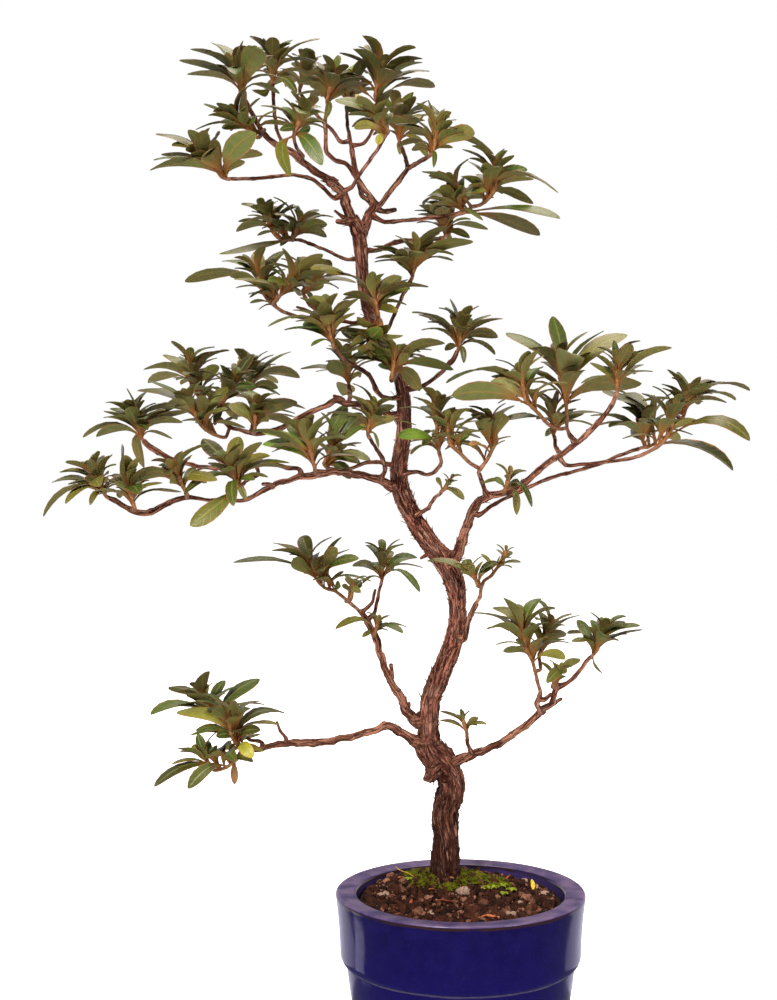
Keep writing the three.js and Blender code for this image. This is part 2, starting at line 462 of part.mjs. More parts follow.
/** Lay out a spray's shoot, and on wood the short spur that it is butted to. */
function growShoot([name, carrierName, frontness, route, leaves], order) {
  const depth = frontness * DEPTH_SPREAD;
  const onSpray = carrierName.startsWith('spray:');
  const carrier = onSpray ? sprays[carrierName.slice(6)] : wood[carrierName];
  const places = numbers(route);
  const aim = places.pop();
  const root = nearest(carrier, places[0][0], places[0][1]);
  const sheet = [root.sheet, ...places];
  const laid = layOut(sheet.map(([across, down]) => [across, down, 4]), -root.point.y, depth);
  const base = laid.points[laid.points.length - 1];
  const axis = between(base, at(aim[0], aim[1], depth)).normalize();
  const points = laid.points;
  if (!onSpray && root.ending) {
    const direction = root.ending.normalize();
    points.splice(0, 1, along(points[0], direction, GAP), along(points[0], direction, GAP + SPUR.reach));
    sheet.unshift(root.sheet);
  } else if (!onSpray) {
    const reach = root.radius + SPUR.reach;
    while (points.length > 2 && points[1].distanceTo(points[0]) < reach + SPUR.reach + GAP) {
      points.splice(1, 1);
      sheet.splice(1, 1);
    }
    const direction = between(points[0], points[1]).normalize();
    const spurEnd = along(points[0], direction, reach);
    const spur = { points: [points[0], spurEnd], radii: [SPUR.radius, SPUR.radius] };
    woodSolids.push(tube(spur.points, spur.radii, SPUR.sides));
    addCapsules(spur, 'wood');
    points[0] = along(points[0], direction, reach + GAP);
  }
  const aimed = between(base, at(aim[0], aim[1], depth)).length();
  const stem = clamp(aimed * STEM.share, STEM.shortest, STEM.longest);
  points.push(along(base, axis, stem));
  const radii = points.map((point, i) => {
    if (i === points.length - 1) return SHOOT.end;
    return lerp(SHOOT.start, SHOOT.base, i / (points.length - 1));
  });
  const node = onSpray ? sprays[carrierName.slice(6)].node : name;
  sheet.push(aim);
  const shoot = { name, node, order, depth, sheet, points, radii, base, axis, stem, leaves: numbers(leaves) };
  sprays[name] = shoot;
  addCapsules(shoot, node);
  shoot.solid = tube(points, radii, SHOOT.sides);
}

SPRAYS.forEach(growShoot);

// ---- Leaves -----------------------------------------------------------------------------------
const STATIONS = 8;
const blades = [];

/** Half width of a leaf at share t of its length: a stalk, then an ellipse widest past the middle. */
function halfWidth(leaf, t) {
  const blade = Math.sin(Math.PI * clamp((t - LEAF.stalk) / (1 - LEAF.stalk), 0, 1) ** 1.2);
  return Math.max(LEAF.petiole * (1 - t), (leaf.width / 2) * Math.max(blade, 0) ** 0.8);
}

/** A leaf's middle line, a bend from its base through a pull point to its tip. */
function spine(leaf, t) {
  const s = 1 - t;
  return leaf.base.clone().multiplyScalar(s * s)
    .addScaledVector(leaf.pull, 2 * s * t)
    .addScaledVector(leaf.tip, t * t);
}

/** Frame of a leaf at share t: its direction, its side and its upper face. */
function leafFrame(leaf, t) {
  const forward = between(leaf.base, leaf.pull).multiplyScalar(1 - t)
    .addScaledVector(between(leaf.pull, leaf.tip), t).normalize();
  const side = along(leaf.side, forward, -leaf.side.dot(forward)).normalize();
  return { forward, side, face: forward.clone().cross(side) };
}

/** Turn a leaf about its length so that it shows the width that it should from the eye. */
function turn(leaf, shownWidth) {
  const chord = between(leaf.base, leaf.tip).normalize();
  const view = between(EYE, leaf.tip).normalize();
  const flat = chord.clone().cross(view).normalize();
  const deep = chord.clone().cross(flat);
  const share = clamp(shownWidth / leaf.width, 0.12, 1);
  const rise = leaf.axis.clone().addScaledVector(UP, 0.6);
  let best = -Infinity;
  for (const sign of [1, -1]) {
    for (const tilt of [1, -1]) {
      const side = flat.clone().multiplyScalar(share * sign);
      side.addScaledVector(deep, tilt * Math.sqrt(1 - share * share));
      const facing = chord.clone().cross(side).dot(rise);
      if (facing > best) {
        best = facing;
        leaf.side = side;
      }
    }
  }
}

/** Measure a leaf at even stations, for testing what it would cross. */
function survey(leaf) {
  leaf.stations = [];
  for (let i = 0; i <= STATIONS; i++) {
    const t = i / STATIONS;
    const { forward, side, face } = leafFrame(leaf, t);
    leaf.stations.push({ t, middle: spine(leaf, t), forward, side, face, half: halfWidth(leaf, t) });
  }
  leaf.middle = spine(leaf, 0.5);
  leaf.step = leaf.length / STATIONS;
  return leaf;
}

/** Whether points of one leaf come within `clearance` of another leaf's blade. */
function crosses(leaf, other, clearance, from) {
  for (const { t, middle, side, half } of leaf.stations) {
    if (t < from) continue;
    for (const share of [-1, 0, 1]) {
      const point = along(middle, side, share * half);
      for (const station of other.stations) {
        if (station.t < from) continue;
        const offset = between(station.middle, point);
        if (Math.abs(offset.dot(station.forward)) > other.step * 0.6 + 0.3) continue;
        if (Math.abs(offset.dot(station.side)) > station.half + 0.7) continue;
        if (Math.abs(offset.dot(station.face)) < clearance) return true;
      }
    }
  }
  return false;
}

const CLEAR = { stem: 1.1, otherNode: 1.75, sameNode: 0.8, sameNodeFrom: 0.45 };

/** Whether a leaf is clear of all wood, all other shoots and all leaves laid before it. */
function isClear(leaf) {
  const closest = new THREE.Vector3();
  const line = new THREE.Line3();
  for (const { a, b, radius, owner } of capsules) {
    if (owner === leaf.node) continue;
    if (a.distanceTo(leaf.middle) > leaf.length + a.distanceTo(b) + radius) continue;
    line.set(a, b);
    for (const { t, middle, side, half } of leaf.stations) {
      if (t < 0.2) continue;
      for (const share of [-1, 0, 1]) {
        const point = along(middle, side, share * half);
        line.closestPointToPoint(point, true, closest);
        if (closest.distanceTo(point) < radius + CLEAR.stem) return false;
      }
    }
  }
  for (const other of blades) {
    if (other.middle.distanceTo(leaf.middle) > (leaf.length + other.length) * 0.62) continue;
    const same = other.node === leaf.node;
    const clearance = same ? CLEAR.sameNode : CLEAR.otherNode;
    const from = same ? CLEAR.sameNodeFrom : 0;
    if (crosses(leaf, other, clearance, from) || crosses(other, leaf, clearance, from)) return false;
  }
  return true;
}

const HAIRLINE = 4;
const DEPTH_TRIES = [1, 0.7, 1.3, 0.4, 0.1, -0.3, -0.7, -1.1, 1.7, -1.6, 2.2, -2.2];

/** Leaf that ends at a place on the sheet, moved in depth until it is clear; null if it never is. */
function tracedLeaf(shoot, [across, down, width, bendAcross, bendDown], random) {
  const flatTip = at(across, down, shoot.depth);
  const reach = between(shoot.base, flatTip);
  const climb = clamp(0.55 + 0.45 * reach.clone().normalize().dot(shoot.axis), 0.15, 1);
  const base = along(shoot.base, shoot.axis, shoot.stem * climb * 0.9);
  const shown = between(base, flatTip).length();
  const unit = unitAt(flatTip);
  const wanted = Math.max(shown, (width * unit) / 0.36) * (1.02 + 0.2 * random());
  const length = Math.min(wanted, Math.max(LEAF.longest, shown * 1.02));
  const toward = random() < 0.55 ? 1 : -1;
  const slender = LEAF.slenderness * (0.9 + 0.2 * random());
  const offset = Math.sqrt(Math.max(length * length - shown * shown, 0));
  for (const share of DEPTH_TRIES) {
    const depth = shoot.depth + toward * share * Math.max(offset, 4);
    const tip = at(across, down, depth);
    const chord = between(base, tip);
    const real = chord.length();
    let pull = along(along(base, chord, 0.36), shoot.axis, real * 0.2);
    if (bendAcross) pull = at(bendAcross, bendDown, lerp(shoot.depth, depth, 0.4));
    const leaf = { node: shoot.node, axis: shoot.axis, base, pull, tip, length: real };
    leaf.width = Math.max(real * slender, width * unit);
    turn(leaf, width * unit);
    if (isClear(survey(leaf))) return leaf;
  }
  return null;
}

const FILL_TURNS = [180, 55, -60, 0];

/** Leaf that fills a spray where the elevation doesn't show it, `turned` degrees round from the front. */
function fillLeaf(shoot, turned, random) {
  const lengths = shoot.blades.map((leaf) => leaf.length).sort((a, b) => a - b);
  const usual = lengths.length ? lengths[Math.floor(lengths.length / 2)] : 20;
  const length = usual * (0.78 + 0.25 * random());
  const spread = THREE.MathUtils.degToRad(turned + 50 * (random() - 0.5));
  const outward = new THREE.Vector3(Math.sin(spread), -Math.cos(spread), 0);
  const lift = 0.45 + 0.5 * random();
  for (const swing of [0, 0.35, -0.35, 0.7, -0.7]) {
    const heading = outward.clone().applyAxisAngle(UP, swing).addScaledVector(shoot.axis, lift).normalize();
    const base = along(shoot.base, shoot.axis, shoot.stem * 0.5);
    const tip = along(base, heading, length);
    const pull = along(along(base, heading, length * 0.38), shoot.axis, length * 0.22);
    const leaf = { node: shoot.node, axis: shoot.axis, base, pull, tip, length };
    leaf.width = length * LEAF.slenderness;
    const face = along(shoot.axis, heading, -shoot.axis.dot(heading)).normalize();
    leaf.side = face.cross(heading);
    if (isClear(survey(leaf))) return leaf;
  }
  return null;
}

const LEAF_RINGS = { broad: [0, 0.36, 0.72, 1], narrow: [0, 0.56, 1], broadFrom: 6 };

/** Leaf as a three-sided blade: flat above, with the midrib as a keel below, pointed at both ends. */
function leafSolid(leaf) {
  const rings = leaf.width > LEAF_RINGS.broadFrom ? LEAF_RINGS.broad : LEAF_RINGS.narrow;
  return ringForm(3, rings.length, (ring, x, z) => {
    const t = rings[ring];
    if (t === 0 || t === 1) return spine(leaf, t);
    const { side, face } = leafFrame(leaf, t);
    const across = (x / Math.sin(Math.PI / 3)) * halfWidth(leaf, t);
    return along(along(spine(leaf, t), side, across), face, (z > 0 ? -0.7 : 0.3) * LEAF.thickness);
  });
}

for (const shoot of Object.values(sprays)) {
  shoot.blades = [];
  shoot.random = seeded(1000 + shoot.order);
  for (const place of shoot.leaves) {
    if (place[2] <= HAIRLINE) continue;
    const leaf = tracedLeaf(shoot, place, shoot.random);
    if (!leaf) continue;
    blades.push(leaf);
    shoot.blades.push(leaf);
  }
}
const FILL_PER_SPRAY = 1;
for (const shoot of Object.values(sprays)) {
  for (const turned of FILL_TURNS.slice(0, FILL_PER_SPRAY)) {
    const leaf = fillLeaf(shoot, turned, shoot.random);
    if (!leaf) continue;
    blades.push(leaf);
    shoot.blades.push(leaf);
  }
}

// ---- Pot, drain mesh, soil and moss -----------------------------------------------------------
// Wall and floor of the pot from the underside's middle, each row a place as radius and height; four
// numbers are a curve, its pull point first
const WALL = [
  [FOOT_RADIUS, 0],
  [57, 20, 59.2, COLLAR_FOOT - 2],
  [60.2, COLLAR_FOOT],
  [64.6, COLLAR_FOOT + 0.5, 64.3, COLLAR_FOOT + 6],
  [62.9, COLLAR_FOOT + 18, RIM_RADIUS - 0.5, POT_HEIGHT - 7],
  [RIM_RADIUS + 0.3, POT_HEIGHT - 0.6, 60, POT_HEIGHT],
  [MOUTH_RADIUS + 0.4, POT_HEIGHT - 0.6, MOUTH_RADIUS, POT_HEIGHT - 6],
  [MOUTH_RADIUS - 1, COLLAR_FOOT],
  [FOOT_RADIUS - 3, FLOOR_THICKNESS],
  [0, FLOOR_THICKNESS],
];

/** Outline of the pot's wall and floor, two chords to a curve. */
function potOutline() {
  const path = new THREE.Path().moveTo(0, 0);
  for (const row of WALL) {
    if (row.length === 4) path.quadraticCurveTo(...row);
    else path.lineTo(...row);
  }
  return path.getPoints(2);
}

/** Height of the soil: a low mound whose top is at the trunk, with crumbs on it. */
function soilHeight(x, y) {
  const foot = trunk.points[2];
  const edge = POT_HEIGHT - SOIL_EDGE_DROP;
  const away = clamp(Math.hypot(x - foot.x, y - foot.y) / MOUND.reach, 0, 1);
  const mound = MOUND.rise * (1 - away * away * (3 - 2 * away));
  const crumbs = Math.sin(MOUND.perX * x + 1.3) * Math.sin(MOUND.perY * y + 0.4);
  return edge + mound + MOUND.crumb * crumbs;
}

const wholePot = solid(new THREE.LatheGeometry(potOutline(), POT_SIDES).rotateX(Math.PI / 2));
const potSolid = Array.from({ length: DRAIN.count }, (_, i) => {
  const angle = (i / DRAIN.count) * 2 * Math.PI;
  const hole = new THREE.CylinderGeometry(DRAIN.radius, DRAIN.radius, FLOOR_THICKNESS * 3, DRAIN.sides);
  const [x, y] = [DRAIN.ring * Math.cos(angle), DRAIN.ring * Math.sin(angle)];
  return solid(hole.rotateX(Math.PI / 2).translate(x, y, FLOOR_THICKNESS));
}).reduce((pot, hole) => pot.subtract(hole), wholePot);

const MESH = { radius: 34, thickness: 1.2, hole: 8, pitch: 12, reach: 2, sides: 20 };

/** Plastic mesh disc that keeps the soil off the drain holes. */
function drainMesh() {
  const middle = FLOOR_THICKNESS + GAP + MESH.thickness / 2;
  const disc = new THREE.CylinderGeometry(MESH.radius, MESH.radius, MESH.thickness, MESH.sides);
  const holes = [];
  for (let column = -MESH.reach; column <= MESH.reach; column++) {
    for (let row = -MESH.reach; row <= MESH.reach; row++) {
      const [x, y] = [column * MESH.pitch, row * MESH.pitch];
      if (Math.hypot(x, y) + MESH.hole > MESH.radius) continue;
      const hole = new THREE.BoxGeometry(MESH.hole, MESH.hole, MESH.thickness * 3);
      holes.push(solid(hole.translate(x, y, middle)));
    }
  }
  return solid(disc.rotateX(Math.PI / 2).translate(0, 0, middle)).subtract(joined(holes));
}

// Pumice stones on the soil: x, y and radius
const PUMICE = [[1, -7, 3.3], [41, 20, 2.6], [45, 8, 2.6], [30, -10, 2.3], [-40, 0, 2.6],
  [24, -30, 2.2], [-16, -29, 2.4], [36, 31, 2.3]];

const SOIL = { sides: 20, rings: 5, offWall: 0.6, edgeRise: 1.5 };

/** Soil with its crumbs and pumice, and the hole that the trunk stands in. */
function soilSolid() {
  const bottom = FLOOR_THICKNESS + MESH.thickness + 2 * GAP;
  const edge = POT_HEIGHT - SOIL_EDGE_DROP;
  const radius = MOUTH_RADIUS - GAP - SOIL.offWall;
  const profile = [[0, bottom], [FOOT_RADIUS - 3 - SOIL.offWall, bottom]];
  profile.push([MOUTH_RADIUS - 1 - SOIL.offWall, COLLAR_FOOT], [radius, edge]);
  for (let ring = SOIL.rings - 1; ring >= 0; ring--) profile.push([(ring / SOIL.rings) * radius, edge]);
  const outline = profile.map(([across, up]) => new THREE.Vector2(across, up));
  const lathe = new THREE.LatheGeometry(outline, SOIL.sides).rotateX(Math.PI / 2);
  const position = lathe.attributes.position;
  for (let i = 0; i < position.count; i++) {
    const [x, y] = [position.getX(i), position.getY(i)];
    if (position.getZ(i) < edge - 0.01) continue;
    const inner = Math.hypot(x, y) < radius - 1;
    position.setZ(i, inner ? soilHeight(x, y) : Math.min(soilHeight(x, y), edge + SOIL.edgeRise));
  }
  const lumps = PUMICE.map(([x, y, radius]) => {
    const lump = new THREE.IcosahedronGeometry(radius, 0).scale(1.2, 1, 0.8);
    return solid(lump.translate(x, y, soilHeight(x, y) + radius * 0.2));
  });
  return { plain: solid(lathe), whole: joined([solid(lathe), ...lumps]).subtract(trunkClearance) };
}

/** Cushion of moss round the trunk's foot, lying on the soil. */
function mossSolid(soil) {
  const foot = trunk.points[2];
  const cushion = new THREE.SphereGeometry(1, 16, 6);
  const position = cushion.rotateX(Math.PI / 2).attributes.position;
  for (let i = 0; i < position.count; i++) {
    const angle = Math.atan2(position.getY(i), position.getX(i));
    const lobes = 1 + 0.16 * Math.sin(3 * angle + 0.7) + 0.1 * Math.sin(5 * angle + 2);
    const x = foot.x + MOSS.aside + position.getX(i) * MOSS.radius * lobes;
    const y = foot.y + position.getY(i) * MOSS.radius * MOSS.depthShare * lobes;
    position.setXYZ(i, x, y, soilHeight(x, y) + position.getZ(i) * MOSS.thickness);
  }
  return solid(cushion).subtract(soil.plain.translate([0, 0, GAP])).subtract(trunkClearance);
}

// ---- The part ---------------------------------------------------------------------------------
const FINISH = {
  glaze: { color: 0x23187a, roughness: 0.18, metalness: 0 },
  mesh: { color: 0x2c2c2c, roughness: 0.6, metalness: 0 },
  soil: { color: 0x3f2a20, roughness: 0.95, metalness: 0 },
  moss: { color: 0x6f7d22, roughness: 0.95, metalness: 0 },
  bark: { color: 0x6f4638, roughness: 0.85, metalness: 0 },
  leaf: { color: 0x45521f, roughness: 0.5, metalness: 0 },
};

/** Named mesh of a solid. */
function pieceMesh(name, manifold, finish) {
  const { vertProperties, triVerts } = manifold.getMesh();
  const geometry = new THREE.BufferGeometry();
  geometry.setAttribute('position', new THREE.BufferAttribute(new Float32Array(vertProperties), 3));
  geometry.setIndex(new THREE.BufferAttribute(new Uint32Array(triVerts), 1));
  geometry.computeVertexNormals();
  const mesh = new THREE.Mesh(geometry, new THREE.MeshStandardMaterial(finish));
  mesh.name = name;
  return mesh;
}

const bonsai = new THREE.Group();
const soil = soilSolid();
bonsai.add(pieceMesh('pot', potSolid, FINISH.glaze));
bonsai.add(pieceMesh('drain_mesh', drainMesh(), FINISH.mesh));
bonsai.add(pieceMesh('soil', soil.whole, FINISH.soil));
bonsai.add(pieceMesh('moss', mossSolid(soil), FINISH.moss));
bonsai.add(pieceMesh('wood', joined(woodSolids), FINISH.bark));
const nodes = new Set(Object.values(sprays).map((shoot) => shoot.node));
for (const node of nodes) {
  const shoots = Object.values(sprays).filter((shoot) => shoot.node === node);
  const pieces = shoots.flatMap((shoot) => [shoot.solid, ...shoot.blades.map(leafSolid)]);
  bonsai.add(pieceMesh(`spray_${node}`, joined(pieces), FINISH.leaf));
}

export default bonsai;
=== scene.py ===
"""Satsuki azalea bonsai in a round glazed pot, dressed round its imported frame.

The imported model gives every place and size. The tree is laid out here by the same rule as in the
frame: its front elevation is a sheet seen in perspective from one eye point, a place on it is
written "across,down" in sheet units, and a depth toward the viewer turns it into a point. Lengths
are in millimetres up to the moment that a mesh is made, which is in metres.
"""

from __future__ import annotations

import logging
import math
from collections.abc import Callable, Iterable, Iterator, Sequence
from dataclasses import dataclass, field
from enum import Enum, IntEnum

import bmesh
import bpy
import numpy as np
from bpy.types import Material, Node, NodeSocket, NodeTree, Object
from mathutils import Matrix, Vector, noise

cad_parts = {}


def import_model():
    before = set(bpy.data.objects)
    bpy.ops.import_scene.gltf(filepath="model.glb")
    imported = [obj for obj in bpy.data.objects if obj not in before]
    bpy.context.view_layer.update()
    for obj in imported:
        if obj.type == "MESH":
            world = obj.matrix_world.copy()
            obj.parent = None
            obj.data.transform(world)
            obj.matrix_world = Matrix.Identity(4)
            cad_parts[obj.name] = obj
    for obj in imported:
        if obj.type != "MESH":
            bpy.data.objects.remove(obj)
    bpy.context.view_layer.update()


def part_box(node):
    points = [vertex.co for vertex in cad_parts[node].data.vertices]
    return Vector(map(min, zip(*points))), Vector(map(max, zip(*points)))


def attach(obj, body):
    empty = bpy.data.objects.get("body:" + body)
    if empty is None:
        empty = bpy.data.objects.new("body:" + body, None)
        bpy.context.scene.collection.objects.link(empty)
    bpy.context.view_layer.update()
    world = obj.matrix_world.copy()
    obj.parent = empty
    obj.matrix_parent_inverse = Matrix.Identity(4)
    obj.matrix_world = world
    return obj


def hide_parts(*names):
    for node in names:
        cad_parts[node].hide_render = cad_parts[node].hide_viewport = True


LOG = logging.getLogger("bonsai")
MM = 0.001
UP = np.array([0.0, 0.0, 1.0])
Faces = list[tuple[int, ...]]
Places = list[list[float]]

# ---- What the tree is laid out from, in millimetres and sheet units ------------------------------
GAP = 0.3
DEPTH_SPREAD = 1.4
TRUNK_SET_DEPTH = 27.0
HAIRLINE = 4
SHOOT_RADIUS = {"start": 1.15, "base": 1.0, "end": 0.75}
STRAIGHT = {"aside": 1.7, "swell": 0.8, "longest": 60.0}
LEAF = {"slenderness": 0.31, "petiole": 0.75, "longest": 42.0}
STATIONS = 8
CLEAR = {"stem": 1.1, "stem_from": 0.2, "other_node": 1.75, "same_node": 0.8, "same_node_from": 0.45}
SPUR = {"reach": 1.2, "radius": 1.25, "room": 1.5}
STEM = {"share": 0.32, "shortest": 3, "longest": 8}
DEPTH_TRIES = (1, 0.7, 1.3, 0.4, 0.1, -0.3, -0.7, -1.1, 1.7, -1.6, 2.2, -2.2)
SWINGS = (0, 0.35, -0.35, 0.7, -0.7)
TRUNK_DEPTH = {"foot": -15.0, "fork": 6.0}
TRUNK_ROOT = [[445, 935, 20], [445, 900, 34]]
MOST_LEAVES = 4096
SEEDS = {"frame": 1000, "finer": 5000, "form": 9000}

# The trunk from the soil to its fork, as across,down,thickness
TRUNK_ROUTE = """
445,885,34 446,870,29 446,850,27 446,835,26 444,820,27 445,808,27 449,798,30 452,788,27 451,778,27
446,768,32 438,758,34 430,747,30 429,735,24 429,720,21 431,700,20 438,680,21 446,660,21 453,643,20
457,625,19 457,605,19 456,590,20 451,573,22 442,558,22 430,543,20 418,525,20 407,505,19 401,490,19
399,472,18 401,452,17 404,430,16 404,410,15 403,395,14 400,378,13 394,360,12.5 384,342,13 374,325,13
367,308,13 364,290,13.5 362,270,14 361,252,15 359,232,15
"""
# Limbs: name, what it grows from, depth of its tip | route as across,down,thickness
LIMBS = """
knob trunk 2 | 439,766,15 430,774,12 426,778,7;
stub_waist trunk -4 | 431,552,5 421,558,3;
leader_left trunk 10 | 352,218,12 346,203,11 341,192,10 336,185,11;
crown_left leader_left 12 | 325,178,8 312,169,7.5 298,158,8 284,149,8 273,143,7 265,135,6 258,124,5.5
  250,110,5 244,99,4.5;
crown_peak crown_left -16 | 281,144,4.5 276,128,4 274,105,4 273,85,4;
crown_front_left crown_left 30 | 303,157,4 297,148,4 294,138,4;
crown_low_left leader_left 34 | 335,198,5 322,187,4.5 312,179,4.5 295,175,4 280,176,4 260,178,4
  240,179,4 230,179,4;
crown_front leader_left 26 | 352,187,4.5 360,173,4 370,160,4 378,148,4 384,138,4;
leader_right trunk 2 | 364,226,11 369,214,10 374,204,9;
crown_mid leader_right -6 | 370,196,6 363,187,6 357,178,6 350,168,5 345,163,5 335,160,5 327,153,5
  326,140,4.5 325,125,4.5 327,108,4;
crown_mid_back leader_right -28 | 362,195,5.5 357,175,5 353,158,6 351,145,5 348,130,4 347,112,3.8;
crown_far_back crown_mid_back -40 | 342,142,4.5 332,130,4 320,119,4 308,105,4 301,94,3.6;
crown_right_peak crown_mid_back -18 | 364,143,4 371,133,3.8 376,124,3.6 377,108,3.6;
crown_right leader_right 8 | 378,206,6 388,194,6 398,182,6 405,172,5.5 408,168,5;
crown_right_front crown_right 22 | 416,164,5 424,159,5 429,156,4.5;
crown_right_back crown_right -8 | 406,160,4.5 403,150,4.5 400,143,4;
stub_crown_right leader_right -4 | 382,211,6 395,210,5;
stub_crown_left leader_left 4 | 346,218,5 335,211,3;
stub_fork leader_left 14 | 346,222,7 338,222,6;
shoulder leader_right 12 | 385,222,5 400,221,4.5 420,219,4 440,217,4.5 458,214,5;
neck_right trunk -16 | 380,249,5 390,244,5 403,241,6 415,241,4 430,240,4 440,238,4;
left_high trunk -24 | 345,259,4 332,253,3.6 318,247,3.6 308,243,4;
neck_front trunk 18 | 388,328,4.5 395,312,4 402,297,4 407,287,4.5 411,280,4.5;
left_mid trunk 8 | 355,323,4.5 338,320,4 325,318,4 310,317,4 298,316,4 287,313,4;
left_mid_back left_mid -12 | 318,312,4.5 310,305,4 305,297,4;
stub_left_mid left_mid 14 | 312,314,3.5 297,307,3;
left_low_front trunk 34 | 390,398,5 382,396,5 377,391,6 374,384,5 369,375,5 360,369,5 350,363,4.5
  341,356,4 335,348,4;
right_neck_limb trunk 16 | 420,387,5 432,380,4.5 443,371,5 452,361,6 457,352,5;
left_pad_back trunk -24 | 390,415,8 378,409,7 362,406,7 348,403,7 336,401,7 322,407,6 308,413,6
  295,421,6 283,427,6 270,431,5 256,434,5 240,430,4.5 230,427,4.5 223,421,4;
left_pad_peak left_pad_back -44 | 254,420,4 252,408,3.6 250,396,3.4;
left_round left_pad_back -38 | 350,395,4.5 349,386,4;
stub_pad left_pad_back -8 | 343,401,5 334,396,4;
left_main trunk 38 | 390,486,10 380,480,9 368,477,8 352,473,8 335,472,7 318,474,9 300,477,7 288,480,6
  275,485,6 262,491,5.5 250,498,5 240,501,4.5 225,499,4 205,500,4 190,497,5 178,499,6 166,504,6
  156,510,7 146,513,7 136,512,7 126,507,6 117,502,6 109,498,5;
left_upper left_main 2 | 300,470,5 285,467,5 270,463,5 258,461,5 245,463,4.5 232,467,4.5 215,468,5
  198,466,5 183,463,5 170,459,6 160,453,6 151,448,7 144,441,6;
left_hanging left_upper 36 | 258,475,4 248,480,4 242,485,4;
stub_left_main left_main 22 | 272,486,5 263,484,4;
back_left trunk -14 | 392,465,5 378,462,4.5 365,463,4.5 352,468,4 340,471,4 331,469,4;
near_trunk left_main 32 | 385,470,5 382,458,5 375,447,4 369,437,4;
pink_twig trunk 14 | 418,472,4.5 428,475,4 436,471,4.5 440,465,4.5;
waist_twig trunk 18 | 428,508,4.5 434,499,4 441,492,4;
right_main trunk 34 | 455,556,12 462,540,11 467,525,10 472,512,10 480,500,9 487,496,9 500,494,8
  512,490,8 525,483,8 535,474,7 545,465,7 555,458,7 565,452,6.5 575,444,6 585,436,6 597,424,6 607,412,5
  613,403,5 616,395,5;
right_inner right_main 22 | 482,483,5 479,474,5;
right_bud_limb right_main 12 | 556,448,4.5 555,440,4;
right_upper right_main 18 | 574,441,6 570,435,6;
right_far right_main 22 | 565,465,4.5 585,464,4 600,463,4 620,460,4 635,457,4;
right_low right_main -6 | 478,515,5 490,507,4.5 500,501,4 520,492,4 545,480,4 560,475,4 580,470,4
  600,464,4 620,455,4 638,449,4;
right_shoulder trunk 12 | 464,638,7 467,625,6 471,614,6 476,604,6;
right_low_limb trunk 26 | 452,763,10 465,757,9 475,753,9 490,748,8 505,740,8 515,733,8 525,726,8
  533,719,8 545,709,8 552,703,7 556,692,7 558,687,8 567,683,5 578,672,5 590,658,4.5;
right_fork right_low_limb 22 | 537,705,6 540,694,6;
stub_right_fork right_fork 18 | 544,700,5 551,694,4;
stub_right_low right_low_limb 10 | 553,703,5 561,699,4;
foot_twig right_low_limb 8 | 467,742,4.5 467,735,4;
left_rise trunk -26 | 415,720,12 405,707,10 397,692,9 390,680,8 385,668,8 381,655,8 378,645,8 373,632,8
  367,620,7 360,612,6;
stub_rise_high left_rise -14 | 391,676,6 391,665,5;
stub_rise_low left_rise -6 | 409,712,5 409,703,4;
rise_twig left_rise -34 | 374,614,4.5 376,605,4 379,592,3.6 381,584,3.4;
stub_rise_twig left_rise -18 | 372,603,4 375,590,3;
left_low_limb trunk 28 | 418,742,11 400,732,9 385,725,9 378,729,8 365,733,8 350,737,8 330,741,8
  310,743,9 290,743,8 275,745,7 264,748,6.5 254,750,5;
left_low_upper left_low_limb 14 | 262,743,4.5 250,740,4 242,734,4 230,727,3.8;
stub_left_low left_low_limb 22 | 286,738,4 280,731,3.5 277,722,3
"""

ON_SPRAY = "spray:"
